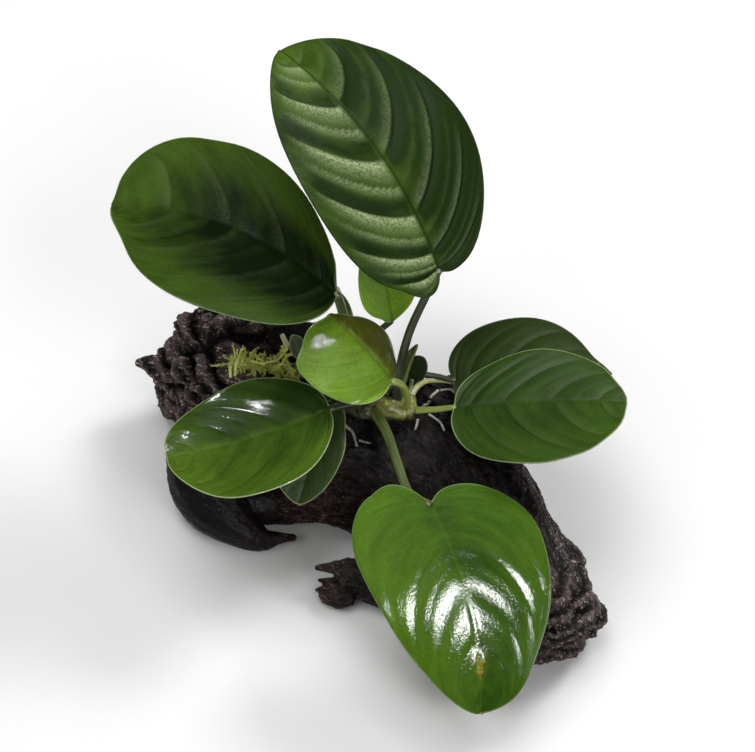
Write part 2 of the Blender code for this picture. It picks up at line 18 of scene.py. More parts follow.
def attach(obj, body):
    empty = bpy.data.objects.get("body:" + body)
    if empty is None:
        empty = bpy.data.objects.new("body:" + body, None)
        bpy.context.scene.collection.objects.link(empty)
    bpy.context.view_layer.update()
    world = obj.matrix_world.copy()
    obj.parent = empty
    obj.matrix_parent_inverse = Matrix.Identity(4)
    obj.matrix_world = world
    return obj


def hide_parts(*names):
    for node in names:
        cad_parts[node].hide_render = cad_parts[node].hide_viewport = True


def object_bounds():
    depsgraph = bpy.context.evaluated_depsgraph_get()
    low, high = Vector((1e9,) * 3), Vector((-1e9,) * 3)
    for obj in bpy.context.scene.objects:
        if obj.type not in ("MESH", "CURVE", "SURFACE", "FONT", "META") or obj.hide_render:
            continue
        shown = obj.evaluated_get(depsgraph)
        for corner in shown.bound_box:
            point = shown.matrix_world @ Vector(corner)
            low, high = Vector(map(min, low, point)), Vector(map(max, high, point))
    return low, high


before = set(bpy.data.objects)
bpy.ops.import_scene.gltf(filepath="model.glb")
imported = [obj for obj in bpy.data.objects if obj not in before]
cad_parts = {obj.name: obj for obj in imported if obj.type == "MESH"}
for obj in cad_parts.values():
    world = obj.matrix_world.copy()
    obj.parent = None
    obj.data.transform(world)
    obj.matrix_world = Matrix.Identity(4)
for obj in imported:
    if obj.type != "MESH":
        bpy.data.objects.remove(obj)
CAD_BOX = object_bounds()

MM = 0.001
ORIGIN = np.array([-2.8, -23.6, 0])
BOX_LOW = np.array(CAD_BOX[0][:]) / MM + ORIGIN
BOX_HIGH = np.array(CAD_BOX[1][:]) / MM + ORIGIN

# The wood, as limbs. Each row is a section: x, y, z of its middle, half width, half height.
TRUNK_LIMB = (
    (-70, 28, 22, 14, 25), (-58, 23, 23, 20, 26), (-40, 10, 23, 22, 26), (-20, -4, 23, 23, 27),
    (4, -10, 23, 21, 27), (24, -23, 22, 19, 26), (39, -44, 20, 17, 24), (55, -66, 18, 18, 21),
    (65, -82, 13, 13, 15),
)
TRUNK_SQUARENESS = 3
CRAG_LIMBS = (
    ((-62, 28, 36, 13, 12), (-67, 35, 42, 11, 10), (-68.5, 40, 46.5, 8, 7)),
    ((-71, 33, 30, 8, 7), (-77.5, 35, 30.5, 5.5, 4.5), (-81, 36, 31, 3, 2.5)),
    (
        (-70, 28, 26, 12, 11), (-79, 30, 27, 8, 7), (-84, 31, 27, 4, 4), (-88, 32.3, 26.5, 2.9, 2.7),
        (-92, 33, 26, 1.4, 1.3),
    ),
    ((-69, 25, 16, 12, 13), (-74, 26, 13, 8, 9), (-75.5, 26, 8, 6, 8)),
    ((-52, 24, 38, 11, 11), (-50, 29, 43, 9, 8), (-48, 33, 46, 6, 5)),
    ((-56, 10, 34, 12, 10), (-63, 12, 37, 8, 7)),
    ((-57, 30, 40, 9, 11), (-43, 28, 43, 10, 10), (-31, 24, 46.5, 10, 10), (-17, 17, 48, 9, 9)),
    ((2, -3, 39, 7, 8), (15, 2, 41.5, 7, 8), (26, 5.5, 42, 6.5, 7.5), (34, 2, 38, 6, 6)),
)
WEB_LIMB = (
    (-58, -9, 9, 12, 10), (-46, -16, 8, 11.5, 9), (-33, -16.5, 8, 10, 10), (-18, -17, 9, 10, 12),
    (-2, -24, 10, 10, 12),
)
FOOT_LIMB = ((62, -66, 12, 12, 12), (72, -70, 10, 8.5, 10), (78, -72, 8, 4.5, 7))
LEFT_BRANCH_LIMB = (
    (-54, 8, 20, 18, 20), (-62, -4, 18, 16, 18), (-64, -15.5, 15, 14, 15), (-58.5, -24, 11, 12, 12),
    (-50, -31, 7.5, 7.5, 9), (-42.5, -34, 5, 4.6, 5), (-37, -32.8, 4.5, 2.3, 2.6),
    (-30.5, -32.6, 4.5, 1.3, 1.6),
)
FRONT_ROOT_LIMBS = (
    (
        (60, -72, 12, 14, 14), (42, -68, 10, 12, 12), (24, -62, 8.5, 9, 10.5), (6, -55.5, 8, 8, 9.5),
        (-7, -53, 7.5, 7, 9), (-13, -53.5, 7, 6.5, 8),
    ),
    ((-6, -50.5, 10.5, 4, 4.5), (-14, -50, 11, 3, 3.4), (-22.5, -50.5, 11.5, 0.9, 1)),
    ((-10, -56, 5, 5, 6.5), (-15, -57, 4.5, 4.2, 5.5), (-20, -57.5, 4, 2.8, 4)),
    ((-14, -54, 7, 2.4, 2.4), (-19, -53.6, 7.4, 1.2, 1.2), (-21.8, -53.2, 7.6, 0.5, 0.5)),
    ((-16, -56, 6, 2, 2), (-20.5, -56, 5.6, 1.2, 1.2), (-22.8, -56.3, 5.4, 0.5, 0.5)),
)
BARK_RIDGE_LIMBS = (
    (
        (10, 2, 47, 6, 6), (26, -3, 48, 6.5, 5.5), (38, -14, 44, 6.5, 5.5), (52, -36, 38, 6, 5),
        (69, -62, 29, 5, 4),
    ),
    ((30, -22, 46, 4, 3.5), (46, -46, 42, 4, 3.5), (62, -70, 34, 3.5, 3)),
    ((-36, 20, 45, 5, 5), (-18, 12, 48, 5, 4.5), (2, 6, 48, 4.5, 4), (16, 2, 46, 4, 4)),
)
# Each piece of wood: size of the voxels that fuse its limbs, how wet it is, its limbs.
WOOD_PIECES = {
    "driftwood_trunk": (0.73, 0.1, (*CRAG_LIMBS, WEB_LIMB, FOOT_LIMB, *BARK_RIDGE_LIMBS)),
    "driftwood_left_branch": (0.55, 0.05, (LEFT_BRANCH_LIMB,)),
    "driftwood_front_root": (0.55, 0.15, FRONT_ROOT_LIMBS),
}
# Thin tips keep their shape: the bark's unevenness dies out towards these places.
THIN_TIPS = ((-92, 33, 26), (-31, -32.6, 4.5), (-22.5, -50.5, 11.5), (-21, -56, 5.5))
# Deep clefts that part the lumps of the crag, as places along each cleft and its half width.
CLEFTS = (
    (
        ((-84, 24, 38), (-76.6, 24.5, 43), (-70.6, 23, 45.6), (-65.2, 22.5, 49.3), (-61.6, 26.6, 49.5)),
        2.4,
    ),
    (((-70.4, 18.9, 46.1), (-68.6, 12.5, 46.7), (-70.8, 11.2, 40.7), (-69.3, 7.2, 38.2)), 2),
    (((-62.3, 19.4, 47.8), (-62.3, 10.9, 48.8)), 1.5),
    (((-60, 26, 51), (-50.9, 25.3, 51.7), (-45, 23.9, 52.2)), 2.6),
    (((-84, 23, 22), (-78.4, 20.7, 26.1), (-73, 12.6, 37.2)), 1.8),
)
CLEFT_DEPTH = 4
# About the mean of ridged noise and of the height of layers.
RIDGED_MEAN = 1.1
LAYER_MEAN = 0.7
# The wood's zones: where each begins, in x and in y, and the length over which it sets in,
# below zero towards lower values.
ZONES = {
    "crag": ((-38, -14), (-6, 12)), "smooth_lobe": ((-30, -8), (-2, -10)),
    "front_root": ((34, -12), (-46, -6)), "foot": ((52, 8), (-62, -8)),
}
# The strip along the right edge, painted paler with painted highlights: a place on its border and the
# direction across it.
STRIP_BORDER = (48, -22)
STRIP_ACROSS = (0.93, 0.37)
# Direction of the wood's grain, in degrees, at these values of x.
GRAIN_PLACES = (-80, -30, 15, 45, 70)
GRAIN_ANGLES = (-25, -28, -38, -58, -62)
# Ridged noise of the bark: how fine it is in each direction, where it starts, how much weaker
# its finer parts are, how much finer, their number and how sharp its ridges are.
BARK_NOISES = {
    "ridges": ((0.018, 0.085, 0.085), (0, 0, 0), 0.9, 2.1, 4, 1.8),
    "fine": ((0.05, 0.33, 0.33), (0, 0, 0), 0.8, 2.1, 4, 1.9),
    "crumbs": ((0.16, 0.36, 0.36), (0, 5, 0), 0.5, 2.1, 3, 1.9),
    "chunks": ((0.05, 0.05, 0.11), (7, 0, 0), 0.8, 2.2, 4, 2),
    "folds": ((0.12, 0.12, 0.2), (2, 0, 0), 0.9, 2.2, 4, 1.9),
}

BLADE_THICKNESS = 0.55
# Rows and columns of a blade's points, and of one whose half width is under this.
BLADE_GRID = (180, 60)
SMALL_BLADE_GRID = (50, 20)
SMALL_HALF_WIDTH = 6
MARGIN_POINTS = 400
VEIN_OFFSET = 0.3

DARK_STALK = ((0.022, 0.03, 0.008), (0.06, 0.075, 0.018))
GREEN_STALK = ((0.07, 0.1, 0.02), (0.2, 0.26, 0.05))
YELLOW_STALK = ((0.16, 0.21, 0.03), (0.36, 0.44, 0.07))
OLIVE_STALK = ((0.035, 0.052, 0.01), (0.14, 0.19, 0.03))
# What a leaf has where its own entry says nothing else. Lengths are in millimetres, angles in
# degrees. Places along a blade go from 0 at its base to 1 at its tip, and across it from -1 at
# the left margin to 1 at the right. Where there are two values, the left half's comes first.
# base, tip: ends of the midrib. left, right: half width, reach of the base lobe behind the
# stalk, swell towards the base, narrowing at the tip, angle at which the half rises. roll: turn
# about the midrib. bow, bend: how far that arches up and to the right. wave: height of the
# margin's waves. lap: how far the base lobes close behind the stalk. swells: where each margin
# stands out, over what reach and how far. curls: the same for where the left one turns up.
# veins: number of side veins along a half. sweep: how far they lean forward. bulge: height of
# the blade between them. relief: where bulges begin, are full, begin to fade and are gone. cup:
# how deep each half sags. vein: height of the side veins. dark, light: the two tones. tones:
# share of the light one in the middle, and what is added on the right half, at the tip, at the
# margin and around the base of the midrib. patches: place and reach, along and across, and what
# is added to the tone. spot: place and reach of a yellowed one. gloss: roughness, specular
# level, waxy coat. shine: where the coat begins to change, has changed, begins to change back
# and is back, and its share there and elsewhere. grain: height of the fine unevenness. rim, rib:
# paleness of margin and midrib, below zero where dark, and a dark midrib is painted shade in its
# groove. crease_shade: how dark the side veins' creases are painted, as painted shade.
# painted_sheen: paleness painted on the near flanks of the bulges, as painted sheen. stalk: its
# radius at the rhizome and at the leaf, and points from the rhizome up. stalk_tones: its darker
# and lighter colour.
LEAF = dict(
    roll=0, bow=0.5, bend=0, wave=0, lap=(0, 0), swells=((), ()), curls=(), veins=3, sweep=(0.3, 0.3),
    bulge=(0.05, 0.05), relief=(0.02, 0.1, 0.86, 0.97), cup=0, vein=0,
    tones=(0.5, 0, 0, 0, 0), patches=(), spot=None, gloss=(0.5, 0.2, 0), shine=None,
    grain=0.05, rim=0.1, rib=0.1, crease_shade=0.3, painted_sheen=(0, 0), slot="leaf_green",
    stalk_tones=GREEN_STALK,
)
LEAVES = {
    "top": dict(
        LEAF, base=(21, 3, 115), tip=(-33, 60, 163), left=(33, 15, 0.15, 0.3, 6),
        right=(40, 25, 0.05, 0, -12), bow=9, bend=3, wave=0.8, lap=(4.2, 1.2),
        swells=(((0.5, 0.3, 1),), ((0.08, 0.06, -1), (0.36, 0.14, 1), (0.76, 0.14, 0.5))),
        veins=6.8, sweep=(0.2, 0.3), bulge=(2, 1.3), relief=(0.02, 0.1, 0.8, 0.91),
        dark=(0.012, 0.03, 0.003), light=(0.08, 0.15, 0.014), tones=(0.42, -0.3, 0.4, -0.15, 0),
        patches=((0.9, 0, 0.12, 1, 0.2), (0.3, 0.6, 0.3, 0.3, -0.15)), gloss=(0.34, 0.04, 0),
        grain=0.2, rim=-0.5, rib=-0.6, crease_shade=0.9, painted_sheen=(0.9, 0.3),
        stalk=(1.7, 1.3, ((7, -10, 57), (7.5, -6, 68), (11, -3, 88), (17, -1, 107))),
        stalk_tones=DARK_STALK,
    ),
    "upper_left": dict(
        LEAF, base=(-14, 0, 105), tip=(-92, 30, 118), left=(40, 6, 0, 0.42, 10),
        right=(33, -6, -0.3, -0.5, 6), bow=8, bend=4, wave=0.8, lap=(0, 1),
        swells=(
            ((0.5, 0.12, 2.6), (0.78, 0.1, -1.6)),
            ((0.06, 0.06, -2.2), (0.5, 0.12, -1.6), (0.68, 0.1, -1.9), (0.91, 0.085, 3.7)),
        ),
        veins=6.5, sweep=(0.3, 0.26), bulge=(0.35, 0.5), relief=(0.02, 0.1, 0.82, 0.93),
        dark=(0.006, 0.014, 0.002), light=(0.055, 0.105, 0.01), tones=(0.35, 0.05, 0.2, 0.4, -0.45),
        # The first and the last patch lighten the tip as a painted reflection.
        patches=(
            (0.82, 0.3, 0.1, 0.3, 0.4), (0.3, -0.1, 0.2, 0.4, -0.4), (0.24, 0.8, 0.2, 0.35, 1.3),
            (0.9, 0.15, 0.08, 0.4, 0.25),
        ),
        gloss=(0.42, 0.05, 0), grain=0.12, rim=0.5, rib=0, crease_shade=0.25, painted_sheen=(0.05, 0.1),
        stalk=(1.9, 1.5, ((-8, -7, 56), (-9, 2, 74), (-12.5, 7.5, 88), (-14.5, 8, 98))),
    ),
    "young": dict(
        LEAF, base=(5, -13, 74), tip=(-16.5, -1.9, 96.9), left=(20.5, 5, -0.25, -0.4, -10),
        right=(12.5, 2, 0, 0.1, -18), roll=-10, bow=5, bend=-1.5, wave=0.4,
        swells=(
            ((0.91, 0.075, 2.9), (0.77, 0.08, 2.5), (0.62, 0.16, 1), (0.29, 0.16, 1.9)),
            ((0.42, 0.12, 0.4), (0.78, 0.17, -2.4)),
        ),
        curls=((0.22, 0.14, 3.6), (0.86, 0.12, 1.8)), veins=5, sweep=(0.3, 0.26), bulge=(0.2, 0.15),
        relief=(0.02, 0.1, 0.7, 0.9), cup=-1, dark=(0.1, 0.105, 0.01), light=(0.23, 0.45, 0.025),
        tones=(0.8, -0.75, 0, 0, 0), gloss=(0.4, 0.1, 0.6),
        shine=(0.36, 0.42, 0.7, 0.8, 0, 1), grain=0.06, rim=0.8, rib=-0.3, crease_shade=0.25,
        slot="young_leaf", stalk=(1.1, 1.5, ((10.7, -13, 57), (10.7, -13, 64), (8.8, -13, 71))),
        stalk_tones=YELLOW_STALK,
    ),
    "left": dict(
        LEAF, base=(-17, -21, 68), tip=(-73, -36, 60), left=(31, 5, 0, 0, 15),
        right=(21, 2, 0.05, 0, 15), bow=-3, wave=0.8,
        swells=(((0.93, 0.12, 1.1),), ((0.93, 0.12, 1.1),)), veins=6, bulge=(0.4, 0.4), cup=1.6,
        # The darker right half and the two patches that darken the base of the right half are painted
        # shadow of the young leaf.
        dark=(0.022, 0.06, 0.004), light=(0.13, 0.24, 0.018), tones=(0.35, -0.2, 0.4, 0.05, 0.1),
        patches=(
            (0.72, 0, 0.16, 0.2, 0.35), (0.16, 0.3, 0.14, 0.4, -0.6), (0.2, -0.75, 0.2, 0.25, 0.4),
            (0.28, 0.75, 0.12, 0.2, -0.3),
        ),
        gloss=(0.4, 0.1, 0.8), shine=(0, 0.05, 0.7, 0.82, 1, 0.1), rim=1, rib=0.12,
        stalk=(1.7, 1.4, ((-6, -12, 57), (-9, -15, 63))), stalk_tones=DARK_STALK,
    ),
    "under_left": dict(
        LEAF, base=(-16, -12, 60), tip=(-28, -45, 44), left=(11, 2, 0.05, 0.2, 10),
        right=(16, 2, 0.05, 0.2, 10), bow=2, wave=0.3, swells=(((0.3, 0.1, -1.2),), ()), veins=5,
        bulge=(0.2, 0.2), dark=(0.014, 0.034, 0.004), light=(0.065, 0.115, 0.022),
        tones=(0.5, 0, 0, 0.2, 0), rim=0.7, stalk=(1.3, 1.1, ((-9, -7, 56), (-12, -8, 59.5))),
        stalk_tones=DARK_STALK,
    ),
    "front": dict(
        LEAF, base=(18, -60.5, 66), tip=(35, -118, 25), left=(30.3, 38, 0.18, 0.1, -8),
        right=(29, 52, 0.22, 0.35, -6), bow=6, bend=-4, wave=1.2, lap=(0.5, 2.5),
        swells=(
            ((0.1, 0.08, -1.6), (0.34, 0.1, 3.1), (0.83, 0.11, 2.6)),
            ((0.12, 0.06, -0.8), (0.34, 0.11, 3.4), (0.66, 0.13, -1.2)),
        ),
        veins=7, sweep=(0.38, 0.34), bulge=(0.7, 0.7), relief=(0.34, 0.5, 0.7, 0.82), cup=-0.6,
        vein=0.18, dark=(0.024, 0.07, 0.004), light=(0.1, 0.21, 0.012),
        tones=(0.3, 0.35, -0.3, 0.2, -0.1), spot=(0.74, 0, 0.035), gloss=(0.45, 0.02, 0.9),
        shine=(0.38, 0.48, 0.72, 0.8, 1, 0), grain=0.09, rim=0.4, painted_sheen=(0.05, 0.05),
        stalk=(1.8, 1.4, ((-2, -12, 57), (3, -25, 60.5), (7, -40, 62), (11, -53, 62.5))),
        stalk_tones=OLIVE_STALK,
    ),
    "right": dict(
        LEAF, base=(27.5, -16.5, 63), tip=(87, -22.5, 74), left=(21, 4, 0, 0.05, 8),
        right=(31, 8, 0, 0.05, 8), bow=2, wave=0.8,
        swells=(((0.86, 0.08, -1.2),), ((0.63, 0.08, -1.2), (0.87, 0.07, 0.8))), veins=6,
        bulge=(0.5, 0.4), relief=(0.02, 0.1, 0.8, 0.95), cup=0.5, dark=(0.012, 0.032, 0.003),
        light=(0.05, 0.11, 0.009), tones=(0.4, 0.1, 0.2, 0.1, -0.1), gloss=(0.46, 0.1, 0), grain=0.06,
        rim=0.6, rib=0.05, crease_shade=0.45, painted_sheen=(0.06, 0.06),
        stalk=(1.3, 1, ((12.5, -12.5, 56), (19, -14.5, 59))), stalk_tones=YELLOW_STALK,
    ),
    "back_right": dict(
        LEAF, base=(28, 0, 57), tip=(85, 0.5, 60), left=(27, 17, 0.05, 0.35, -4),
        right=(19, 8, 0.05, 0.1, -2), bow=3, wave=0.6,
        swells=(((0.3, 0.12, 1.8), (0.84, 0.14, -3.4)), ((0.97, 0.05, -1.5),)), veins=6,
        bulge=(0.35, 0.3), dark=(0.016, 0.03, 0.004), light=(0.04, 0.075, 0.01),
        tones=(0.5, 0.1, 0.2, -0.2, -0.1), gloss=(0.36, 0.2, 0.15), grain=0.14, rib=0, crease_shade=0.4,
        painted_sheen=(0.05, 0.05), stalk=(1.3, 1, ((3, -6, 57), (8, 1, 57.5), (15, 3, 57), (22, 2, 57))),
        stalk_tones=DARK_STALK,
    ),
    "back_small": dict(
        LEAF, base=(5, 6, 84), tip=(-2, 15, 122), left=(16, -20, 0, 0.3, 15),
        right=(18, -14, 0, 0.3, 15), roll=8, bow=1, wave=0.3,
        swells=(((0.05, 0.06, 1.5), (0.36, 0.14, -1)), ((0.1, 0.1, 2),)), veins=5,
        bulge=(0.15, 0.15), dark=(0.13, 0.25, 0.015), light=(0.3, 0.56, 0.04),
        tones=(0.65, 0, 0.1, 0.1, 0), gloss=(0.45, 0.1, 0), rib=-0.4,
        stalk=(1.3, 1.1, ((-3, -6, 58), (-3.5, 3, 70), (0.5, 5, 79))), stalk_tones=DARK_STALK,
    ),
    "standing": dict(
        LEAF, base=(-11, 10, 63), tip=(-14.3, 12.5, 92.5), left=(3, 0, 0, 0.3, 15),
        right=(4, 0, 0, 0.3, 15), bow=1, dark=(0.08, 0.13, 0.016), light=(0.2, 0.27, 0.05),
        tones=(0.5, 0, 0, 0.2, 0), gloss=(0.4, 0.2, 0.1), grain=0.03, rim=0.8,
        stalk=(1.2, 1, ((-14, -3, 54.5), (-12.5, 4, 57.5))),
    ),
    "spear": dict(
        LEAF, base=(9, -3, 61), tip=(14, 0, 78), left=(2.5, 0, 0, 0.5, 40),
        right=(2.5, 0, 0, 0.5, 40), dark=(0.03, 0.045, 0.01), light=(0.3, 0.42, 0.08),
        tones=(0.7, 0, -0.8, 0, 0), gloss=(0.4, 0.2, 0.1), grain=0.03, rib=0.2,
        stalk=(1.3, 1.2, ((7, -7.5, 57), (8.5, -4.5, 59.5))),
    ),
    "round_small": dict(
        LEAF, base=(12.5, -2.5, 61), tip=(16.5, 1.5, 69), left=(4.5, 0, 0, 0, 5),
        right=(4.5, 0, 0, 0, 5), dark=(0.01, 0.02, 0.006), light=(0.025, 0.045, 0.012), grain=0.04,
        stalk=(1, 0.8, ((10.5, -8, 57), (11.8, -4.5, 59))),
    ),
    "dull_small": dict(
        LEAF, base=(-28, 13, 54), tip=(-31, 17, 62.5), left=(3.2, 0, 0, 0.2, 5),
        right=(3.2, 0, 0, 0.2, 5), dark=(0.07, 0.085, 0.045), light=(0.17, 0.19, 0.1), grain=0.04,
        rim=0.8, rib=0.2, stalk=(1, 0.8, ((-22, 4, 53.5), (-26, 9, 53.5))),
    ),
}

RHIZOME_LIMB = (
    (-24, 6, 52.5, 2.2, 2.2), (-17, -2, 53.5, 3.2, 3), (-9, -8, 54.5, 4.6, 4.2),
    (-1, -10.5, 55, 4.8, 4.4), (7, -11.5, 55.5, 4.6, 4.2), (13, -12.5, 56, 3.6, 3.4),
)
RHIZOME_VOXEL = 0.35
RHIZOME_KNOBS = (
    (-4, -13.5, 57, 3.2), (2.5, -13, 58, 3.4), (8, -14, 57, 3), (11, -9, 57, 2.8), (-12, -9, 55, 3),
)
BUD_LIMB = ((2, -12, 58, 3, 3), (5.5, -14.5, 58.5, 2.6, 2.6), (10, -15.5, 57.5, 2, 2))
# Strands: radius at the start and at the end, and points along each.
YOUNG_SHEATH = (1.4, 0.9, ((-31.4, 16.4, 52), (-33.2, 18.2, 55), (-35, 20, 59)))
ROOT_PALE_ARCH = (
    1.2, 0.55, ((12, -7, 57.5), (14.6, -3.5, 58.8), (18.3, 0, 57.2), (22.7, 1.6, 55), (27.1, 2.4, 53)),
)
ROOT_HANGING = (0.5, 0.35, ((14.5, -15.6, 54.8), (14, -16.6, 52.5), (13.4, -17, 50.5)))
# The same for thin roots that lie on the wood, with only x and y of the points.
ROOTS = {
    "root_front": (0.55, 0.35, ((-11.7, -14.5), (-9, -17), (-8, -20), (-7.5, -23))),
    "root_front_fork": (0.4, 0.3, ((-6.5, -19.5), (-4.5, -20), (-2.5, -20))),
    "root_right_upper": (0.5, 0.35, ((16, -6), (19, -4.5), (22, -1.5))),
    "root_right_middle": (0.45, 0.3, ((18.5, -9), (22, -12), (24, -16))),
    "root_right_lower": (0.5, 0.35, ((23, -1.5), (26, 0), (28, -1.5))),
}
MOSS_LEFT = ((-53, 13, 46, 3, 3), (-48, 13.5, 48, 4, 3.6), (-42.5, 14, 49.5, 3.6, 3.2))
MOSS_RIGHT = ((-38, 13, 50, 4, 3.6), (-33, 11, 51, 4.6, 4), (-29, 8, 50, 4, 3.5))
# Runners over the wood among the moss, as x and y of points along each.
MOSS_RUNNERS = {
    "moss_left": (
        ((-50, 20), (-51.5, 14), (-52, 7)), ((-54, 11), (-53.5, 6)), ((-51, 17), (-46, 14), (-41, 13)),
        ((-47, 19), (-43.5, 16), (-40.5, 13)),
    ),
    "moss_right": (
        ((-42, 14), (-37, 15), (-33, 16.5)), ((-37, 12), (-33, 15), (-29, 14)),
        ((-39, 10.5), (-35, 13), (-30, 10)), ((-35, 18), (-33, 14), (-31, 9)),
    ),
}
MOSS_SPRIGS = 80
SPRIG_STEPS = 8
PATH_STEPS = 8
# Height in metres from which the wood's surface is looked for.
ABOVE_ALL = 0.2

CAMERA_ELEVATION = 52
CAMERA_DISTANCE = 800
CAMERA_TARGET = np.array([0, 0, 60])
CAMERA_LENS = 105.95
FLOOR_REACH = 4
DAYLIGHT = 0.24
LIGHT_DISTANCE = 2.2
LIGHT_TARGET = np.array([0, 0, 0.06])
# Each light: direction from the object, length of its side in metres, share of white that it
# gives, and whether it lights matt surfaces or shows in glossy ones.
STUDIO_LIGHTS = (
    ("back_right", (0.54, 0.41, 0.74), 0.6, 0.38, "matt"),
    ("overhead", (-0.15, 0.1, 0.98), 1.3, 0.44, "matt"),
    ("front_right", (0.38, -0.56, 0.74), 0.6, 0.16, "matt"),
    ("front_left", (-0.55, -0.45, 0.7), 1.2, 0.12, "matt"),
    ("window_back_right", (0.54, 0.41, 0.74), 0.5, 0.42, "glossy"),
    ("window_overhead", (-0.24, -0.09, 0.97), 0.22, 0.7, "glossy"),
    ("window_above_young", (0.26, 0.05, 0.97), 0.13, 0.8, "glossy"),
    ("window_low", (0.9, -0.38, 0.22), 0.2, 0.25, "glossy"),
    ("window_front", (0.36, -0.61, 0.7), 0.36, 0.8, "glossy"),
)


# Geometry.

def unit(vector):
    return vector / np.linalg.norm(vector)


def ease(low, high, value):
    """From 0 where the value is low to 1 where it is high, smooth at both ends."""
    part = np.clip((value - low) / (high - low), 0, 1)
    return part * part * (3 - 2 * part)


def ramp(value, start, length):
    """From 0 at the start to 1 a length further on, where a length below zero goes down."""
    return min(max((value - start) / length, 0), 1)


def smooth_path(points, steps):
    """A smooth curve through the points, with this many steps between each two."""
    points = np.asarray(points, float)
    ends = np.vstack([2 * points[0] - points[1], points, 2 * points[-1] - points[-2]])
    found = []
    for i in range(1, len(ends) - 2):
        a, b, c, d = ends[i - 1:i + 3]
        for step in range(steps):
            u = step / steps
            found.append(
                0.5 * (2 * b + (c - a) * u + (2 * a - 5 * b + 4 * c - d) * u ** 2
                       + (3 * b - a - 3 * c + d) * u ** 3)
            )
    found.append(ends[-2])
    return np.array(found)


def boxed(value, squareness):
    """A cosine or sine, changed so that the circle that they describe turns boxier."""
    return math.copysign(abs(value) ** (2 / squareness), value)


def tube(path, wide, high, sides, squareness=2):
    """Points and faces of a closed tube along the path, its sections wide and high. A
    squareness of 2 gives ellipses, and more gives boxier sections."""
    path = np.asarray(path, float)
    wide = np.broadcast_to(wide, len(path))
    high = np.broadcast_to(high, len(path))
    along = np.gradient(path, axis=0)
    turns = [2 * math.pi * k / sides for k in range(sides)]
    corners = [(boxed(math.cos(turn), squareness), boxed(math.sin(turn), squareness)) for turn in turns]
    across = np.cross(unit(along[0]), [0, 0, 1])
    if np.linalg.norm(across) <= 0.05:
        across = np.cross(unit(along[0]), [1, 0, 0])
    across = unit(across)
    points = []
    for place, direction, a, b in zip(path, along, wide, high):
        direction = unit(direction)
        across = unit(across - direction * (across @ direction))
        up = np.cross(across, direction)
        points.extend(place + across * cos * a + up * sin * b for cos, sin in corners)
    last = (len(path) - 1) * sides
    points.append(path[0] - unit(along[0]) * min(wide[0], high[0]) * 0.6)
    points.append(path[-1] + unit(along[-1]) * min(wide[-1], high[-1]) * 0.6)
    ring = [(k, (k + 1) % sides) for k in range(sides)]
    faces = [
        (start + k, start + n, start + sides + n, start + sides + k)
        for start in range(0, last, sides) for k, n in ring
    ]
    for k, n in ring:
        faces.append((n, k, len(points) - 2))
        faces.append((last + k, last + n, len(points) - 1))
    return np.array(points), faces


def ring_turns(sides, number):
    """The angle of every corner of this many sections of a tube."""
    return np.tile(np.arange(sides), number) * 2 * math.pi / sides


def widen(points, path, sides, share):
    """Moves the corners of a tube's sections to this share of their distance from its path."""
    middle = np.repeat(path, sides, axis=0)
    points[:len(middle)] = middle + (points[:len(middle)] - middle) * share[:, None]


def limb(rows, sides=14, flutes=0, squareness=2):
    """A closed tapering limb through sections (x, y, z, half width, half height)."""
    rows = smooth_path(rows, 4)
    points, faces = tube(rows[:, :3], rows[:, 3], rows[:, 4], sides, squareness)
    if flutes:
        turn = ring_turns(sides, len(rows))
        run = np.repeat(np.arange(len(rows)), sides)
        grown = 1 + flutes * np.sin(5 * turn + 0.25 * run) + 0.6 * flutes * np.sin(9 * turn - 0.4 * run)
        widen(points, rows[:, :3], sides, grown)
    return points, faces


def joined(shapes):
    """One list of points and faces from several."""
    points = []
    faces = []
    for own_points, own_faces in shapes:
        start = len(points)
        points.extend(own_points)
        faces.extend(tuple(start + k for k in face) for face in own_faces)
    return np.array(points), faces


def linked(name, data):
    obj = bpy.data.objects.new(name, data)
    bpy.context.scene.collection.objects.link(obj)
    return obj


def add_object(name, points, faces, keep_inside=True):
    """A smooth mesh object from points in millimetres, kept inside the solids' box."""
    points = np.asarray(points, float)
    if keep_inside:
        points = np.clip(points, BOX_LOW, BOX_HIGH)
    mesh = bpy.data.meshes.new(name)
    mesh.from_pydata(((points - ORIGIN) * MM).tolist(), [], [list(face) for face in faces])
    mesh.update()
    mesh.shade_smooth()
    return linked(name, mesh)


def faces_outwards(obj):
    own = bmesh.new()
    own.from_mesh(obj.data)
    bmesh.ops.recalc_face_normals(own, faces=own.faces)
    if own.calc_volume(signed=True) < 0:
        bmesh.ops.reverse_faces(own, faces=own.faces)
    own.to_mesh(obj.data)
    own.free()


def remeshed(obj, voxel):
    """Fuses overlapping closed shapes of the object into one skin."""
    remesh = obj.modifiers.new("Fuse", "REMESH")
    remesh.mode = "VOXEL"
    remesh.voxel_size = voxel * MM
    graph = bpy.context.evaluated_depsgraph_get()
    mesh = bpy.data.meshes.new_from_object(obj.evaluated_get(graph), depsgraph=graph)
    obj.modifiers.clear()
    obj.data = mesh
    mesh.shade_smooth()


def places_of(obj):
    """The object's points, in millimetres, and its normals."""
    mesh = obj.data
    places = np.empty(len(mesh.vertices) * 3)
    mesh.vertices.foreach_get("co", places)
    normals = np.array([vertex.normal[:] for vertex in mesh.vertices])
    return places.reshape(-1, 3) / MM + ORIGIN, normals


def set_places(obj, places):
    inside = np.clip(places, BOX_LOW, BOX_HIGH) - ORIGIN
    obj.data.vertices.foreach_set("co", (inside * MM).ravel())
    obj.data.update()


def store(obj, name, values):
    """Keeps one number or one vector for each point as an attribute that materials read."""
    values = np.asarray(values, np.float32)
    kind, field = ("FLOAT", "value") if values.ndim == 1 else ("FLOAT_VECTOR", "vector")
    attribute = obj.data.attributes.new(name, kind, "POINT")
    attribute.data.foreach_set(field, values.ravel())


def finished(obj, material, node):
    """Gives the piece its material and lets it stand for its node."""
    obj.data.materials.clear()
    obj.data.materials.append(material)
    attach(obj, "root")
    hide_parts(node)


# Materials.

def toned(colour, share, lift=0):
    return tuple(share * part + lift for part in colour)


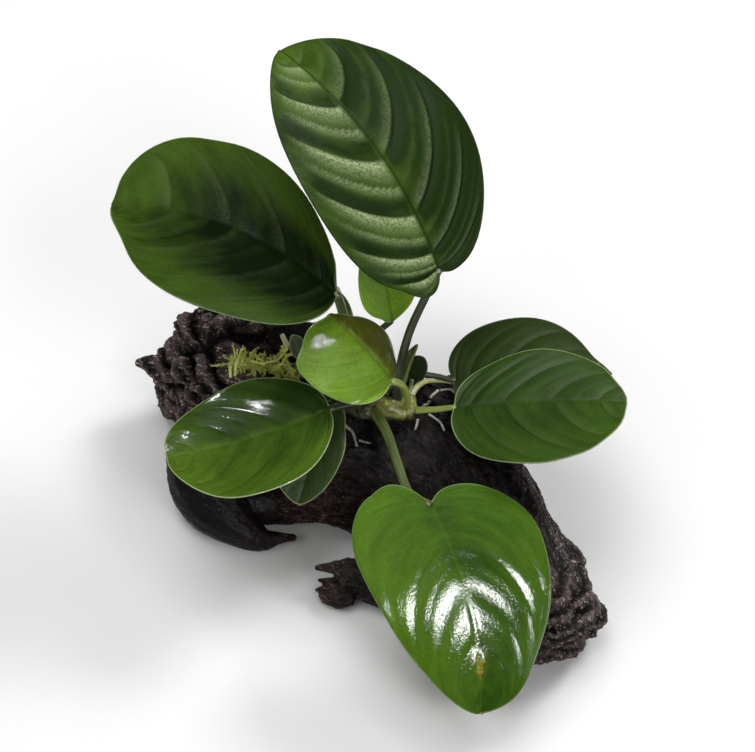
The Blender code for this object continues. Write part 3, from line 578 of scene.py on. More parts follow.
class Nodes:
    """A material's node tree with short calls for the nodes that are used here."""

    def __init__(self, name):
        self.material = bpy.data.materials.new(name)
        self.material.use_nodes = True
        self.tree = self.material.node_tree
        self.place = self.add("TexCoord").outputs["Object"]

    def fill(self, node, inputs):
        for key, value in inputs.items():
            socket = node.inputs[key]
            if isinstance(value, bpy.types.NodeSocket):
                self.tree.links.new(value, socket)
            elif socket.type == "RGBA":
                socket.default_value = (*value, 1)
            else:
                socket.default_value = value
        return node

    def add(self, kind, **inputs):
        return self.fill(self.tree.nodes.new("ShaderNode" + kind), inputs)

    def read(self, name, output="Fac"):
        node = self.add("Attribute")
        node.attribute_name = name
        return node.outputs[output]

    def noise(self, scale, detail, roughness=0.55, place=None):
        node = self.add("TexNoise", Scale=scale, Detail=detail, Roughness=roughness)
        return self.fill(node, {"Vector": place or self.place}).outputs["Fac"]

    def scaled(self, place, scale):
        node = self.add("VectorMath")
        node.operation = "MULTIPLY"
        return self.fill(node, {0: place, 1: scale}).outputs[0]

    def math(self, operation, a, b=0, clamp=False):
        node = self.add("Math")
        node.operation = operation
        node.use_clamp = clamp
        return self.fill(node, {0: a, 1: b}).outputs[0]

    def times(self, a, b):
        return self.math("MULTIPLY", a, b)

    def plus(self, a, b, clamp=False):
        return self.math("ADD", a, b, clamp)

    def range(self, value, low, high, to_low=0, to_high=1):
        node = self.add("MapRange")
        return self.fill(node, dict(enumerate((value, low, high, to_low, to_high)))).outputs[0]

    def mix(self, share, a, b):
        node = self.add("Mix")
        node.data_type = "RGBA"
        return self.fill(node, {0: share, 6: a, 7: b}).outputs[2]

    def layered(self, colour, layers):
        """The colour with others over it, each to its share."""
        for share, over in layers:
            colour = self.mix(share, colour, over)
        return colour

    def bump(self, height, distance, normal=None):
        node = self.add("Bump", Height=height, Distance=distance * MM)
        if normal:
            self.fill(node, {"Normal": normal})
        return node.outputs[0]

    def set(self, **inputs):
        named = {name.replace("_", " "): value for name, value in inputs.items()}
        self.fill(self.tree.nodes["Principled BSDF"], named)
        return self.material


def leaf_material(name, leaf):
    """A blade with two tones, painted shade in the creases at its veins and in a dark midrib's
    groove, painted sheen on the near flanks of its bulges, a pale or dark rim, a dull paler
    underside and a fine grain that breaks up its gloss."""
    dark, light = leaf["dark"], leaf["light"]
    roughness, specular, coat = leaf["gloss"]
    made = Nodes(name)
    under = made.read("under")
    blade = made.read("blade", "Vector")
    streak = made.noise(1, 4, 0.6, made.scaled(blade, (22, 2.2, 1)))
    blotch = made.noise(70, 4)
    mottle = made.noise(1100, 3)
    fine = made.noise(2600, 2)
    share = made.plus(made.read("tone"), made.range(streak, 0.3, 0.7, -0.22, 0.22))
    share = made.plus(share, made.range(blotch, 0.3, 0.7, -0.15, 0.15), clamp=True)
    wave = made.math("ABSOLUTE", made.math("SINE", made.times(made.read("course"), math.pi)))
    # Darkening along the side-vein creases, as strong as the relief is deep: painted shade.
    crease_shade = made.times(made.range(wave, 0.2, 0.02), made.read("depth"))
    # Pale speckled near flanks of the bulges: a painted sheen.
    painted_sheen = made.times(made.read("painted_sheen"), made.range(mottle, 0.35, 0.6, 0.25, 1))
    rib = made.range(made.read("rib"), 1, 0.3, 0, abs(leaf["rib"]))
    rim = made.range(made.read("margin"), 0.42, 0.15, 0, abs(leaf["rim"]))
    layers = [
        (made.range(mottle, 0.4, 0.75, 0, 0.3), toned(dark, 0.5)),
        (painted_sheen, (0.4, 0.48, 0.25)),
        (made.times(crease_shade, leaf["crease_shade"]), toned(dark, 0.3)),
        # A pale midrib is the blade's own colour, and a dark one is painted shade in its groove.
        (rib, toned(light, 1.5, 0.01) if leaf["rib"] > 0 else toned(dark, 0.5)),
        (rim, (0.42, 0.52, 0.24) if leaf["rim"] > 0 else (0.006, 0.012, 0.003)),
    ]
    if leaf["spot"]:
        yellowed = made.times(made.read("spot"), made.range(mottle, 0.35, 0.6))
        layers.append((yellowed, (0.42, 0.33, 0.05)))
    layers.append((made.times(under, 0.6), toned(light, 0.6, 0.03)))
    rough = made.plus(made.range(mottle, 0.3, 0.7, -0.06, 0.08), roughness)
    rough = made.plus(rough, made.times(under, 0.25), clamp=True)
    normal = made.bump(mottle, leaf["grain"])
    normal = made.bump(fine, 0.4 * leaf["grain"], normal)
    if leaf["shine"]:
        coat = made.times(made.read("shine"), coat)
    return made.set(
        Base_Color=made.layered(made.mix(share, dark, light), layers), Roughness=rough, Normal=normal,
        Specular_IOR_Level=specular, Coat_Weight=coat, Coat_Roughness=0.08, Coat_Normal=normal,
    )


def stalk_material(name, dark, light):
    """A stalk with streaks along it."""
    made = Nodes(name)
    skin = made.read("skin", "Vector")
    streak = made.noise(1, 3, place=made.scaled(skin, (60, 1.4, 1.4)))
    spot = made.noise(700, 3)
    colour = made.mix(made.range(streak, 0.3, 0.7), dark, light)
    colour = made.mix(made.range(spot, 0.5, 0.8, 0, 0.35), colour, toned(dark, 0.5))
    return made.set(
        Base_Color=colour, Roughness=made.range(spot, 0.3, 0.7, 0.3, 0.5), Coat_Weight=0.2,
        Normal=made.bump(spot, 0.06, made.bump(streak, 0.25)), Coat_Roughness=0.25,
    )


def wood_material(name, wet):
    """Dark driftwood, wet to this degree, with grain along its limbs, reddish and greyish parts
    and pores. Where it is marked pale it is partly its own paler colour and partly painted
    light, with painted highlight on its fibres and crests and painted glints on small grains,
    and its hollows are darkened as painted shade."""
    made = Nodes(name)
    grain_place = made.read("grain", "Vector")
    smooth = made.read("smooth")
    pale = made.read("pale")
    grain = made.noise(1, 5, 0.6, made.scaled(grain_place, (0.035, 0.42, 0.42)))
    fibre = made.noise(1, 4, 0.65, made.scaled(grain_place, (0.11, 1.15, 1.15)))
    patch = made.noise(45, 4)
    lump = made.noise(380, 4, 0.65)
    pore = made.noise(950, 2, 0.6)
    # Small pale grains where pores meet fibres: painted glints.
    painted_glint = made.times(made.range(pore, 0.54, 0.6), made.range(fibre, 0.5, 0.56))
    # Pale fibre lines are partly the grain's own colour and partly painted highlight.
    fibre_tone_and_highlight, painted_crest_light, painted_glints = [
        made.times(share, made.range(pale, 0, 1, on_dark, on_pale)) for share, on_dark, on_pale in (
            (made.range(fibre, 0.5, 0.62), 0.06, 0.65), (made.read("painted_crest_highlight"), 0.1, 0.5),
            (painted_glint, 0.03, 0.9),
        )
    ]
    base = made.mix(made.range(grain, 0.42, 0.64), (0.0018, 0.0013, 0.0012), (0.009, 0.006, 0.0055))
    colour = made.layered(base, (
        (made.times(made.range(patch, 0.4, 0.62), pale), (0.045, 0.028, 0.028)),
        (made.times(made.read("red"), 0.6), (0.03, 0.006, 0.005)),
        (fibre_tone_and_highlight, (0.15, 0.11, 0.1)), (painted_crest_light, (0.22, 0.165, 0.155)), (painted_glints, (0.6, 0.5, 0.47)),
        (made.times(made.read("painted_hollow_shade"), 0.9), (0.0015, 0.001, 0.001)),
        (made.times(smooth, 0.8), (0.0055, 0.0048, 0.005)),
    ))
    calm = made.math("SUBTRACT", 1, made.times(smooth, 0.7))
    normal = None
    for height, distance in ((lump, 2.2), (grain, 1.2), (fibre, 0.5), (pore, 0.3)):
        normal = made.bump(made.times(height, calm), distance, normal)
    return made.set(
        Base_Color=colour, Roughness=made.range(fibre, 0.3, 0.75, 0.35, 0.6), Normal=normal,
        Coat_Weight=wet, Coat_Roughness=0.22, Coat_Normal=normal, Specular_IOR_Level=0.08,
    )


def skin_material(name, dark, light, roughness, spots=700, depth=0.08, aged=False):
    """A plain soft skin with spots. An aged one turns dark where its points say so."""
    made = Nodes(name)
    spot = made.noise(spots, 4)
    patch = made.noise(160, 3)
    share = made.times(made.range(spot, 0.3, 0.7), made.range(patch, 0.3, 0.65, 0.4, 1))
    colour = made.mix(share, dark, light)
    if aged:
        colour = made.mix(made.times(made.read("old_end_and_underside"), 0.92), colour, toned(dark, 0.18))
    return made.set(Base_Color=colour, Roughness=roughness, Normal=made.bump(spot, depth))


# Wood.

def grain_direction(x):
    """Unit direction of the wood's grain at this x: it follows the bend of the trunk."""
    angle = math.radians(np.interp(x, GRAIN_PLACES, GRAIN_ANGLES))
    return math.cos(angle), math.sin(angle)


def bark_zones(x, y):
    """How far this place is part of each of the ZONES."""
    return [ramp(x, *in_x) * ramp(y, *in_y) for in_x, in_y in ZONES.values()]


def layer_height(place, thickness, lean):
    """Layers that lie one on the other like ledges, each flat on top and cut in below."""
    x, y, z = place
    wander = 2.2 * noise.noise((x * 0.06, y * 0.06, z * 0.03 + 9))
    part = (z + lean * x + wander) / thickness % 1
    return min(part / 0.8, 1) ** 0.7 * (1 - ease(0.88, 1, part))


def cleft_share(places):
    """How deep in a cleft each place lies, from 0 beside it to 1 in its middle."""
    share = np.zeros(len(places))
    for stations, width in CLEFTS:
        for start, end in zip(stations[:-1], stations[1:]):
            start, end = np.array(start, float), np.array(end, float)
            step = end - start
            part = np.clip((places - start) @ step / (step @ step), 0, 1)
            away = np.linalg.norm(places - start - part[:, None] * step, axis=1)
            share = np.maximum(share, np.exp(-(away / width) ** 2))
    return share


def ridged(name, place):
    """One of the BARK_NOISES at this place."""
    fineness, shift, weaker, finer, number, sharp = BARK_NOISES[name]
    place = [part * scale + start for part, scale, start in zip(place, fineness, shift)]
    return noise.ridged_multi_fractal(place, weaker, finer, number, 1, sharp)


def bark_height(place, grain_place, zones):
    """How far the bark stands out here, in millimetres: its coarse lumps and its fine ridges."""
    x, y, z = place
    crag, smooth_lobe, front_root, foot = zones
    ridges, fine, crumbs = [ridged(name, grain_place) for name in ("ridges", "fine", "crumbs")]
    chunks, folds = [ridged(name, place) for name in ("chunks", "folds")]
    lumps = noise.noise((x * 0.045, y * 0.045, z * 0.05 + 3))
    rough = 2 * (ridges - RIDGED_MEAN) * (1 - crag) + 2.8 * (chunks - RIDGED_MEAN) * crag
    calm = 1 - 0.75 * smooth_lobe - 0.5 * front_root
    detail = 0.8 * (fine - RIDGED_MEAN) * (1 - crag) * (1 - 0.5 * foot)
    detail += 0.9 * (folds - RIDGED_MEAN) * crag
    detail += 0.7 * (crumbs - 1) * (0.6 + 0.2 * crag)
    if foot > 0:
        detail += foot * 2.2 * (layer_height(place, 4.2, 0.1) - LAYER_MEAN)
    if crag > 0:
        detail += crag * 3.4 * (layer_height(place, 5.4, 0.25) - LAYER_MEAN)
    return rough * calm + 1.6 * lumps * (1 - 0.4 * smooth_lobe), detail * (1 - 0.85 * smooth_lobe)


def make_wood(name):
    """One piece of the driftwood as a skin over its limbs, cut flat by the floor plane."""
    voxel, wet, limbs = WOOD_PIECES[name]
    shapes = [limb(rows) for rows in limbs]
    if name == "driftwood_trunk":
        shapes.append(limb(TRUNK_LIMB, sides=20, flutes=0.05, squareness=TRUNK_SQUARENESS))
    wood = add_object(name, *joined(shapes), keep_inside=False)
    faces_outwards(wood)
    remeshed(wood, voxel)
    places, normals = places_of(wood)
    rows = []
    for x, y, z in places:
        cos, sin = grain_direction(x)
        grain_place = x * cos + y * sin, y * cos - x * sin, z
        zones = bark_zones(x, y)
        rows.append((*grain_place, *zones, *bark_height((x, y, z), grain_place, zones)))
    rows = np.array(rows)
    crag, lobe, _, foot, heights, details = rows[:, 3:].T
    from_tip = np.min([np.linalg.norm(places - tip, axis=1) for tip in THIN_TIPS], axis=0)
    clefts = cleft_share(places)
    uneven = (heights + details) * ease(1, 12, from_tip) - CLEFT_DEPTH * clefts
    set_places(wood, places + normals * uneven[:, None])
    x, y, _ = places.T
    over_border = (x - STRIP_BORDER[0]) * STRIP_ACROSS[0] + (y - STRIP_BORDER[1]) * STRIP_ACROSS[1]
    strip = ease(-5, 6, over_border) * (1 - foot)
    red = ease(-2, -14, y) * ease(-58, -46, x) * ease(-6, -20, x)
    store(wood, "grain", rows[:, :3])
    # Low places in the fine relief and the clefts are darkened: painted shade.
    store(wood, "painted_hollow_shade", np.maximum(ease(-0.1, -0.9, details), ease(0.25, 0.6, clefts)))
    # Paler tops of the bark's fine relief, away from clefts: painted highlight.
    store(wood, "painted_crest_highlight", ease(0.1, 0.9, details) * (1 - clefts))
    store(wood, "smooth", lobe)
    # Crag, foot and right strip are painted paler, partly their own paler colour and partly painted
    # light on their lit faces; the rest, such as the trunk's front, stays near black as painted shade.
    store(wood, "pale", np.clip(crag + foot + strip + 0.3 * red, 0, 1))
    store(wood, "red", red)
    own = bmesh.new()
    own.from_mesh(wood.data)
    bmesh.ops.dissolve_degenerate(own, dist=0.01 * MM, edges=own.edges)
    own.to_mesh(wood.data)
    own.free()
    wood.data.shade_smooth()
    finished(wood, wood_material(name + "_bark", wet), name)
    return wood


# Leaves.

def blade_frame(leaf):
    """The leaf's base, its direction, its right side, its upper side and its length."""
    base = np.array(leaf["base"], float)
    reach = np.array(leaf["tip"], float) - base
    length = np.linalg.norm(reach)
    along = reach / length
    up = unit(np.array([0, 0, 1]) - along * along[2])
    side = np.cross(along, up)
    roll = math.radians(leaf["roll"])
    turned_up = up * math.cos(roll) + side * math.sin(roll)
    turned_side = side * math.cos(roll) - up * math.sin(roll)
    return base, along, turned_side, turned_up, length


def margin_swell(run, swells):
    """How far the margin stands out at these places along it, in millimetres."""
    out = np.zeros_like(run)
    for place, reach, height in swells:
        out = out + height * np.exp(-((run - place) / reach) ** 2)
    return out


def sided(across, pair):
    """The first of the pair on the blade's left half, the second on its right one."""
    return np.where(across > 0, pair[1], pair[0])


def blade_points(leaf, run, across):
    """Places on the blade. run goes from 0 at the base to 1 at the tip, and across from -1
    at the left margin over 0 at the midrib to 1 at the right margin."""
    base, along, side, up, length = blade_frame(leaf)
    turn = math.pi * run
    reach = (1 - np.cos(turn)) / 2
    sides = zip(leaf["left"], leaf["right"])
    half, lobe, swell, narrow, rise = [sided(across, pair) for pair in sides]
    margin_x = length * reach - lobe * np.sin(turn) * (1 - run) ** 4
    closing = np.sin(math.pi * np.clip(run / 0.16, 0, 1) ** 0.6)
    margin_x = margin_x - sided(across, leaf["lap"]) * closing
    margin_y = half * np.sin(turn) * (1 + swell * np.cos(turn)) * (1 - narrow * reach ** 6)
    swollen = [margin_swell(run, swells) for swells in leaf["swells"]]
    shared = (swollen[0] + swollen[1]) / 2
    meeting = ease(0.94, 1, run)
    steep = np.hypot(2 * np.cos(turn) / length, np.sin(turn) / half)
    out = (sided(across, swollen) * (1 - meeting) + shared * meeting) / steep
    margin_x = margin_x - out * 2 * np.cos(turn) / length
    margin_y = margin_y + out * np.sin(turn) / half
    midrib_x = length * reach ** 1.4 + shared * meeting
    out = np.abs(across)
    x = midrib_x + (margin_x - midrib_x) * out ** 1.35
    y = margin_y * out
    part = x / length
    hump = 4 * part * (1 - part)
    z = leaf["bow"] * hump + y * np.sin(np.radians(rise))
    z = z - leaf["cup"] * 4 * out * (1 - out) * np.sin(turn)
    z = z + leaf["wave"] * out ** 3 * np.sin(5 * turn + sided(across, (0, 0.7)))
    z = z + sided(across, (margin_swell(run, leaf["curls"]), 0)) * out ** 4
    y = y * np.cos(np.radians(rise)) * sided(across, (-1, 1)) + leaf["bend"] * hump
    return base + x[:, None] * along + y[:, None] * side + z[:, None] * up


def blade_sheet(leaf, rows, columns):
    """Run and across of the blade's points in rows and columns, with its base and tip as the
    last two, their places, and the direction away from the blade at each."""
    run, across = np.meshgrid(
        np.linspace(0, 1, rows + 2)[1:-1], np.linspace(-1, 1, columns + 1), indexing="ij",
    )
    grid = blade_points(leaf, run.ravel(), across.ravel()).reshape(rows, columns + 1, 3)
    normals = np.cross(np.gradient(grid, axis=1), np.gradient(grid, axis=0)).reshape(-1, 3)
    normals /= np.linalg.norm(normals, axis=1)[:, None]
    if normals[:, 2].mean() < 0:
        normals = -normals
    normals = np.vstack([normals, normals[columns // 2], normals[columns // 2 - columns - 1]])
    ends = blade_points(leaf, np.array([0, 1]), np.zeros(2))
    run = np.concatenate([run.ravel(), [0, 1]])
    across = np.concatenate([across.ravel(), [0, 0]])
    return run, across, np.vstack([grid.reshape(-1, 3), ends]), normals


def sheet_faces(rows, columns):
    """Faces of a thin closed skin over a sheet, the same sheet below it and the wall between."""
    wide = columns + 1
    base = rows * wide
    tip = base + 1
    last = base - wide
    faces = [
        (start + k, start + k + 1, start + wide + k + 1, start + wide + k)
        for start in range(0, last, wide) for k in range(columns)
    ]
    for k in range(columns):
        faces.append((base, k + 1, k))
        faces.append((tip, last + k, last + k + 1))
    below = tip + 1
    solid = faces + [tuple(below + k for k in reversed(face)) for face in faces]
    left = [i * wide for i in range(rows)]
    ring = [base, *left, tip, *(start + columns for start in reversed(left))]
    for here, there in zip(ring, ring[1:] + ring[:1]):
        solid.append((here, there, below + there, below + here))
    return solid


def vein_course(leaf, run, across):
    """Counts the side veins passed on the way from the base to the tip: whole numbers lie on
    a vein. The veins lean forward from the midrib to the margin."""
    lean = sided(across, leaf["sweep"]) * np.abs(across) ** 1.5 * (0.3 + 1.6 * run)
    return (run - lean) / (1 - 0.9 * lean) * leaf["veins"] + VEIN_OFFSET


def distances(points, line):
    """How far each point is from a line of many close points."""
    tree = KDTree(len(line))
    for i, place in enumerate(line):
        tree.insert(place, i)
    tree.balance()
    return np.array([tree.find(point)[2] for point in points])


def blade_relief(leaf, run, across, course):
    """How far the blade bulges at each point, in millimetres, how deep its creases are, how much
    painted sheen the near flank of a bulge gets and how much painted shade the far one."""
    out = np.abs(across)
    between = np.abs(np.sin(math.pi * course))
    lesser = np.abs(np.sin(2 * math.pi * course))
    begins, full, fades, gone = leaf["relief"]
    fade = ease(0, 0.08, out) * (1 - ease(0.8, 0.98, out))
    fade = fade * ease(begins, full, run) * (1 - ease(fades, gone, run))
    uneven = np.array([
        0.75 + 0.5 * noise.noise((0.9 * c, 2 * a, 5)) for c, a in zip(course, across)
    ])
    ridge = 0.65 * between + 0.3 * between ** 0.4 + 0.3 * lesser ** 0.7
    height = sided(across, leaf["bulge"]) * uneven * (ridge - 0.8) * fade
    height = height + leaf["vein"] * np.exp(-(between / 0.16) ** 2) * fade
    part = course % 1
    half_part = 2 * course % 1
    before = ease(1, 0.92, part)
    after = ease(0, 0.08, part)
    # The near flanks of the bulges, which get the painted sheen.
    on_left = 0.7 * ease(0.45, 0.95, part) + 0.5 * ease(0.5, 0.95, half_part)
    on_right = 0.8 * ease(0.4, 0.05, part) + 0.2 * ease(0.4, 0.05, half_part)
    painted_sheen = sided(across, leaf["painted_sheen"]) * sided(across, (on_left * before, on_right * after))
    painted_sheen = painted_sheen * fade * (1 - 0.85 * ease(0.55, 0.97, out))
    # The far flank of each bulge gets painted shade.
    painted_flank_shade = sided(across, (ease(0.45, 0.1, part), ease(0.55, 0.9, part))) * fade
    return height, fade * uneven, painted_sheen, painted_flank_shade * after * before


def blade_tone(leaf, run, across):
    """Share of the light tone at each point of the blade."""
    out = np.abs(across)
    start, on_right, on_tip, on_margin, at_heart = leaf["tones"]
    tone = start + on_right * ease(-0.1, 0.25, across) + on_tip * ease(0.6, 0.9, run)
    tone = tone + on_margin * ease(0.35, 0.95, out)
    tone = tone + at_heart * np.exp(-(out / 0.5) ** 2) * (1 - ease(0.45, 0.8, run))
    for place, beside, reach, width, amount in leaf["patches"]:
        tone = tone + amount * np.exp(-((run - place) / reach) ** 2 - ((across - beside) / width) ** 2)
    return tone


def make_leaf(name, leaf):
    """A leaf blade as a thin closed skin that bulges between its veins."""
    rows, columns = SMALL_BLADE_GRID if leaf["left"][0] < SMALL_HALF_WIDTH else BLADE_GRID
    run, across, middle, normals = blade_sheet(leaf, rows, columns)
    course = vein_course(leaf, run, across)
    height, depth, painted_sheen, painted_flank_shade = blade_relief(leaf, run, across, course)
    turns = np.linspace(0, 1, MARGIN_POINTS)
    midrib, left, right = [
        blade_points(leaf, turns, np.full(MARGIN_POINTS, side)) for side in (0, -1, 1)
    ]
    rib = distances(middle, midrib)
    from_margin = distances(middle, np.vstack([left, right]))
    taper = 1 - 0.75 * np.clip(run, 0, 1)
    height = height - 0.3 * np.exp(-(rib / 0.9) ** 2) * taper
    thick = BLADE_THICKNESS * (0.5 + 0.5 * ease(0, 1.5, from_margin))
    keel = 1.2 * taper * np.exp(-(rib / 1.2) ** 2)
    top = middle + normals * (height + thick / 2)[:, None]
    bottom = middle + normals * (height - thick / 2 - keel)[:, None]
    obj = add_object(name, np.vstack([top, bottom]), sheet_faces(rows, columns))
    faces_outwards(obj)

    kept = {
        # The tone is darkened on the far flanks of the bulges as painted shade.
        "tone": blade_tone(leaf, run, across) - 0.5 * max(leaf["painted_sheen"]) * painted_flank_shade, "course": course,
        "depth": depth, "rib": rib / (0.3 + 0.9 * taper), "margin": from_margin,
        # Paleness painted on the near flanks of the bulges as painted sheen.
        "painted_sheen": np.clip(painted_sheen, 0, 1),
    }
    if leaf["shine"]:
        begins, full, fades, gone, inside, outside = leaf["shine"]
        band = ease(begins, full, run) * (1 - ease(fades, gone, run))
        kept["shine"] = outside + (inside - outside) * band
    if leaf["spot"]:
        place, beside, reach = leaf["spot"]
        kept["spot"] = np.exp(-((run - place) / reach) ** 2 - ((across - beside) / (2.5 * reach)) ** 2)
    for key, values in kept.items():
        store(obj, key, np.tile(values, 2))
    store(obj, "blade", np.tile(np.stack([course / leaf["veins"], across, run], axis=1), (2, 1)))
    store(obj, "under", np.repeat([0, 1], len(middle)))
    finished(obj, leaf_material(name + "_blade", leaf), name)


# Stalks, roots, rhizome and moss.

def dressed_tube(name, path, radius, sides, material, node, flat=1, groove=0):
    """A tapering tube with a groove along it, which keeps its length and turn for its material."""
    radius = np.broadcast_to(radius, len(path))
    points, faces = tube(path, radius, radius * flat, sides)
    turn = ring_turns(sides, len(path))
    widen(points, path, sides, 1 - groove * np.exp(-((turn - math.pi / 2) / 0.5) ** 2))
    steps = np.linalg.norm(np.diff(path, axis=0), axis=1)
    length = np.concatenate([[0], np.cumsum(steps)])
    skin = np.stack([np.repeat(length, sides) * MM, np.cos(turn), np.sin(turn)], axis=1)
    obj = add_object(name, points, faces)
    store(obj, "skin", np.vstack([skin, skin[:1], skin[-1:]]))
    faces_outwards(obj)
    finished(obj, material, node)


def make_stalk(name, leaf):
    start, end, points = leaf["stalk"]
    path = smooth_path([*points, leaf["base"]], PATH_STEPS)
    radius = np.linspace(start, end, len(path)) * (1 + 0.25 * np.linspace(1, 0, len(path)) ** 6)
    material = stalk_material(name + "_skin", *leaf["stalk_tones"])
    dressed_tube(name, path, radius, 20, material, name, groove=0.18)


def make_strand(name, strand, material, node, flat=1):
    start, end, places = strand
    path = smooth_path(places, PATH_STEPS)
    radius = np.linspace(start, end, len(path))
    dressed_tube(name, path, radius, 14, material, node, flat)


def height_on(tree, x, y):
    """Height of the wood's surface at a place, in millimetres."""
    start = Vector(((x - ORIGIN[0]) * MM, (y - ORIGIN[1]) * MM, ABOVE_ALL))
    hit = tree.ray_cast(start, Vector((0, 0, -1)))[0]
    return hit.z / MM if hit else 0


def over_wood(tree, places, lift, every, steps):
    """A smooth path over the wood along places given as x and y. lift gives its height above
    the wood from its start, 0, to its end, 1. Only one point in every so many is kept."""
    flat = smooth_path([(x, y, 0) for x, y in places], PATH_STEPS)
    lifts = lift(np.linspace(0, 1, len(flat)))
    path = [(x, y, height_on(tree, x, y) + up) for (x, y, _), up in zip(flat, lifts)]
    return smooth_path(path[::every] + [path[-1]], steps)


def make_roots(tree):
    material = skin_material("root_skin", (0.34, 0.32, 0.24), (0.78, 0.77, 0.66), 0.55)
    arch_material = skin_material("root_arch_skin", (0.4, 0.42, 0.12), (0.72, 0.72, 0.34), 0.5)
    for name, (start, end, places) in ROOTS.items():
        path = over_wood(tree, places, lambda part: 0.6 * (start + (end - start) * part), 3, 4)
        dressed_tube(name, path, start, 10, material, name)
    make_strand("root_pale_arch", ROOT_PALE_ARCH, arch_material, "root_pale_arch")
    make_strand("root_hanging", ROOT_HANGING, material, "root_hanging")


def ball(middle, radius):
    """Points and faces of a small round knob."""
    own = bmesh.new()
    bmesh.ops.create_icosphere(own, subdivisions=3, radius=radius)
    points = np.array([vertex.co[:] for vertex in own.verts]) + np.array(middle, float)
    faces = [tuple(vertex.index for vertex in face.verts) for face in own.faces]
    own.free()
    return points, faces


def make_rhizome():
    """The creeping stem with its knobs and its bud, fused, lumpy, and dark at its old end and
    towards its underside.
    """
    shapes = [limb(RHIZOME_LIMB, sides=16), limb(BUD_LIMB, sides=16)]
    shapes += [ball(middle, radius) for *middle, radius in RHIZOME_KNOBS]
    rhizome = add_object("rhizome_stem", *joined(shapes))
    faces_outwards(rhizome)
    remeshed(rhizome, RHIZOME_VOXEL)
    places, normals = places_of(rhizome)
    lumps = np.array([
        0.5 * noise.noise(place * 0.35) + 0.25 * noise.noise(place * 0.9) for place in places
    ])
    set_places(rhizome, places + normals * lumps[:, None])
    # Darker at the old end and towards the bottom.
    old_end_and_underside = np.maximum(ease(3, -4, places[:, 0]), ease(58.5, 56, places[:, 2]))
    store(rhizome, "old_end_and_underside", old_end_and_underside)
    dark, light = (0.09, 0.085, 0.02), (0.48, 0.52, 0.08)
    material = skin_material("rhizome_skin", dark, light, 0.42, 260, 0.15, aged=True)
    finished(rhizome, material, "rhizome")


def sprig_path(chance, start):
    """A short curled path in a random direction."""
    heading = chance.uniform(0, 2 * math.pi)
    lean = chance.uniform(0.4, 1.2)
    length = chance.uniform(2.5, 6.5)
    curl = chance.uniform(-1.2, 1.2)
    path = [start]
    for step in range(SPRIG_STEPS):
        angle = heading + curl * step / SPRIG_STEPS
        rise = lean * (1 - 1.3 * step / SPRIG_STEPS)
        direction = unit(np.array([math.cos(angle), math.sin(angle), rise]))
        path.append(path[-1] + length / SPRIG_STEPS * direction)
    return np.array(path)


def leaflet(place, along, turn, share):
    """A small pointed leaf of a sprig, closed below."""
    side = unit(np.cross(along, [math.cos(turn), math.sin(turn), 0.4]))
    tip = place + 1.1 * unit(side + 0.7 * along) * share
    across = 0.3 * np.cross(side, along)
    middle = (place + tip) / 2
    points = [place, middle + across, tip, middle - across, middle + 0.1 * along]
    return points, [(0, 1, 4), (1, 2, 4), (2, 3, 4), (3, 0, 4), (3, 2, 1, 0)]


def make_moss(name, rows, seed, tree):
    """A tuft of short curled sprigs with small pointed leaflets, and runners over the wood."""
    chance = np.random.default_rng(seed)
    rows = smooth_path(rows, 6)
    shapes = []
    for places in MOSS_RUNNERS[name]:
        path = over_wood(tree, places, lambda part: 0.4 + 1.1 * np.sin(math.pi * part), 4, 5)
        shapes.append(tube(path, 0.6, 0.5, 8))
    for _ in range(MOSS_SPRIGS):
        place = rows[chance.integers(len(rows))]
        spread = chance.normal(0, 0.45, 2) * place[3]
        x, y = place[0] + spread[0], place[1] + spread[1]
        path = sprig_path(chance, np.array([x, y, height_on(tree, x, y) - 0.3]))
        radius = np.linspace(0.38, 0.16, len(path))
        shapes.append(tube(path, radius, radius, 5))
        for before, place in zip(path, path[1:]):
            along = unit(place - before)
            for turn in chance.uniform(0, 2 * math.pi, 3):
                shapes.append(leaflet(place, along, turn, chance.uniform(0.7, 1.3)))
    obj = add_object(name + "_sprigs", *joined(shapes))
    material = skin_material(name + "_green", (0.58, 0.62, 0.08), (0.94, 0.97, 0.4), 0.6, 300, 0.05)
    finished(obj, material, name)


def make_sheath():
    material = stalk_material("young_sheath_skin", (0.5, 0.52, 0.22), (0.88, 0.88, 0.6))
    make_strand("young_sheath_strand", YOUNG_SHEATH, material, "young_sheath", flat=0.6)


# Studio.

def turned_towards(place, target):
    return (Vector(target) - Vector(place)).to_track_quat("-Z", "Y").to_euler()


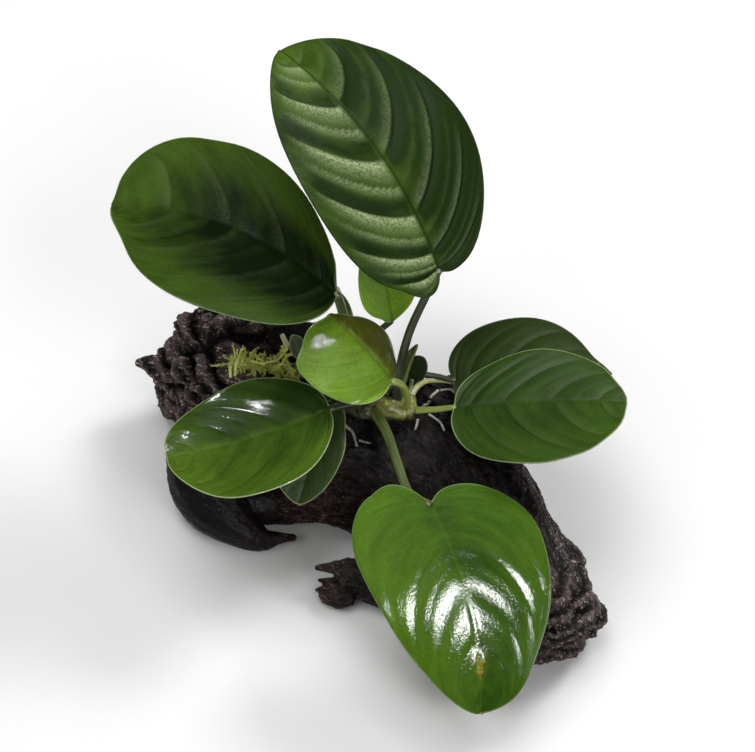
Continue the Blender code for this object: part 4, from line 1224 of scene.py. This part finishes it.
def studio_light(name, direction, size, brightness, use):
    """A square light that lights a surface facing it to this share of white."""
    light = bpy.data.lights.new(name, "AREA")
    light.size = size
    light.energy = brightness * math.pi ** 2 * LIGHT_DISTANCE ** 2
    obj = linked(name, light)
    obj.location = LIGHT_TARGET + unit(np.array(direction, float)) * LIGHT_DISTANCE
    obj.rotation_euler = turned_towards(obj.location, LIGHT_TARGET)
    obj.visible_diffuse = use != "glossy"
    obj.visible_glossy = use != "matt"


def make_camera():
    elevation = math.radians(CAMERA_ELEVATION)
    back = np.array([0, -math.cos(elevation), math.sin(elevation)])
    place = (CAMERA_TARGET + back * CAMERA_DISTANCE - ORIGIN) * MM
    camera = bpy.data.cameras.new("camera")
    camera.lens = CAMERA_LENS
    camera.sensor_width = 36
    camera.sensor_fit = "HORIZONTAL"
    camera.clip_start = 0.01
    seen = linked("camera", camera)
    seen.location = place
    seen.rotation_euler = turned_towards(place, (CAMERA_TARGET - ORIGIN) * MM)
    bpy.context.scene.camera = seen


def make_studio():
    mesh = bpy.data.meshes.new("floor")
    corners = [(FLOOR_REACH * x, FLOOR_REACH * y, 0) for x, y in ((-1, -1), (1, -1), (1, 1), (-1, 1))]
    mesh.from_pydata(corners, [], [(0, 1, 2, 3)])
    mesh.materials.append(Nodes("floor_white").set(Base_Color=(0.95, 0.95, 0.95), Roughness=0.9))
    linked("floor", mesh)

    world = bpy.data.worlds.new("studio")
    world.use_nodes = True
    background = world.node_tree.nodes["Background"]
    background.inputs["Color"].default_value = (1, 1, 1, 1)
    background.inputs["Strength"].default_value = DAYLIGHT
    world.cycles_visibility.glossy = False
    bpy.context.scene.world = world
    bpy.context.scene.view_settings.view_transform = "Standard"

    for name, direction, size, brightness, use in STUDIO_LIGHTS:
        studio_light(name, direction, size, brightness, use)


wood = [make_wood(name) for name in WOOD_PIECES]
tree = BVHTree.FromObject(wood[0], bpy.context.evaluated_depsgraph_get())
for place, leaf in LEAVES.items():
    make_leaf("leaf_" + place, leaf)
for place, leaf in LEAVES.items():
    make_stalk("stalk_" + place, leaf)
make_roots(tree)
make_rhizome()
make_moss("moss_left", MOSS_LEFT, 3, tree)
make_moss("moss_right", MOSS_RIGHT, 5, tree)
make_sheath()
make_camera()
make_studio()
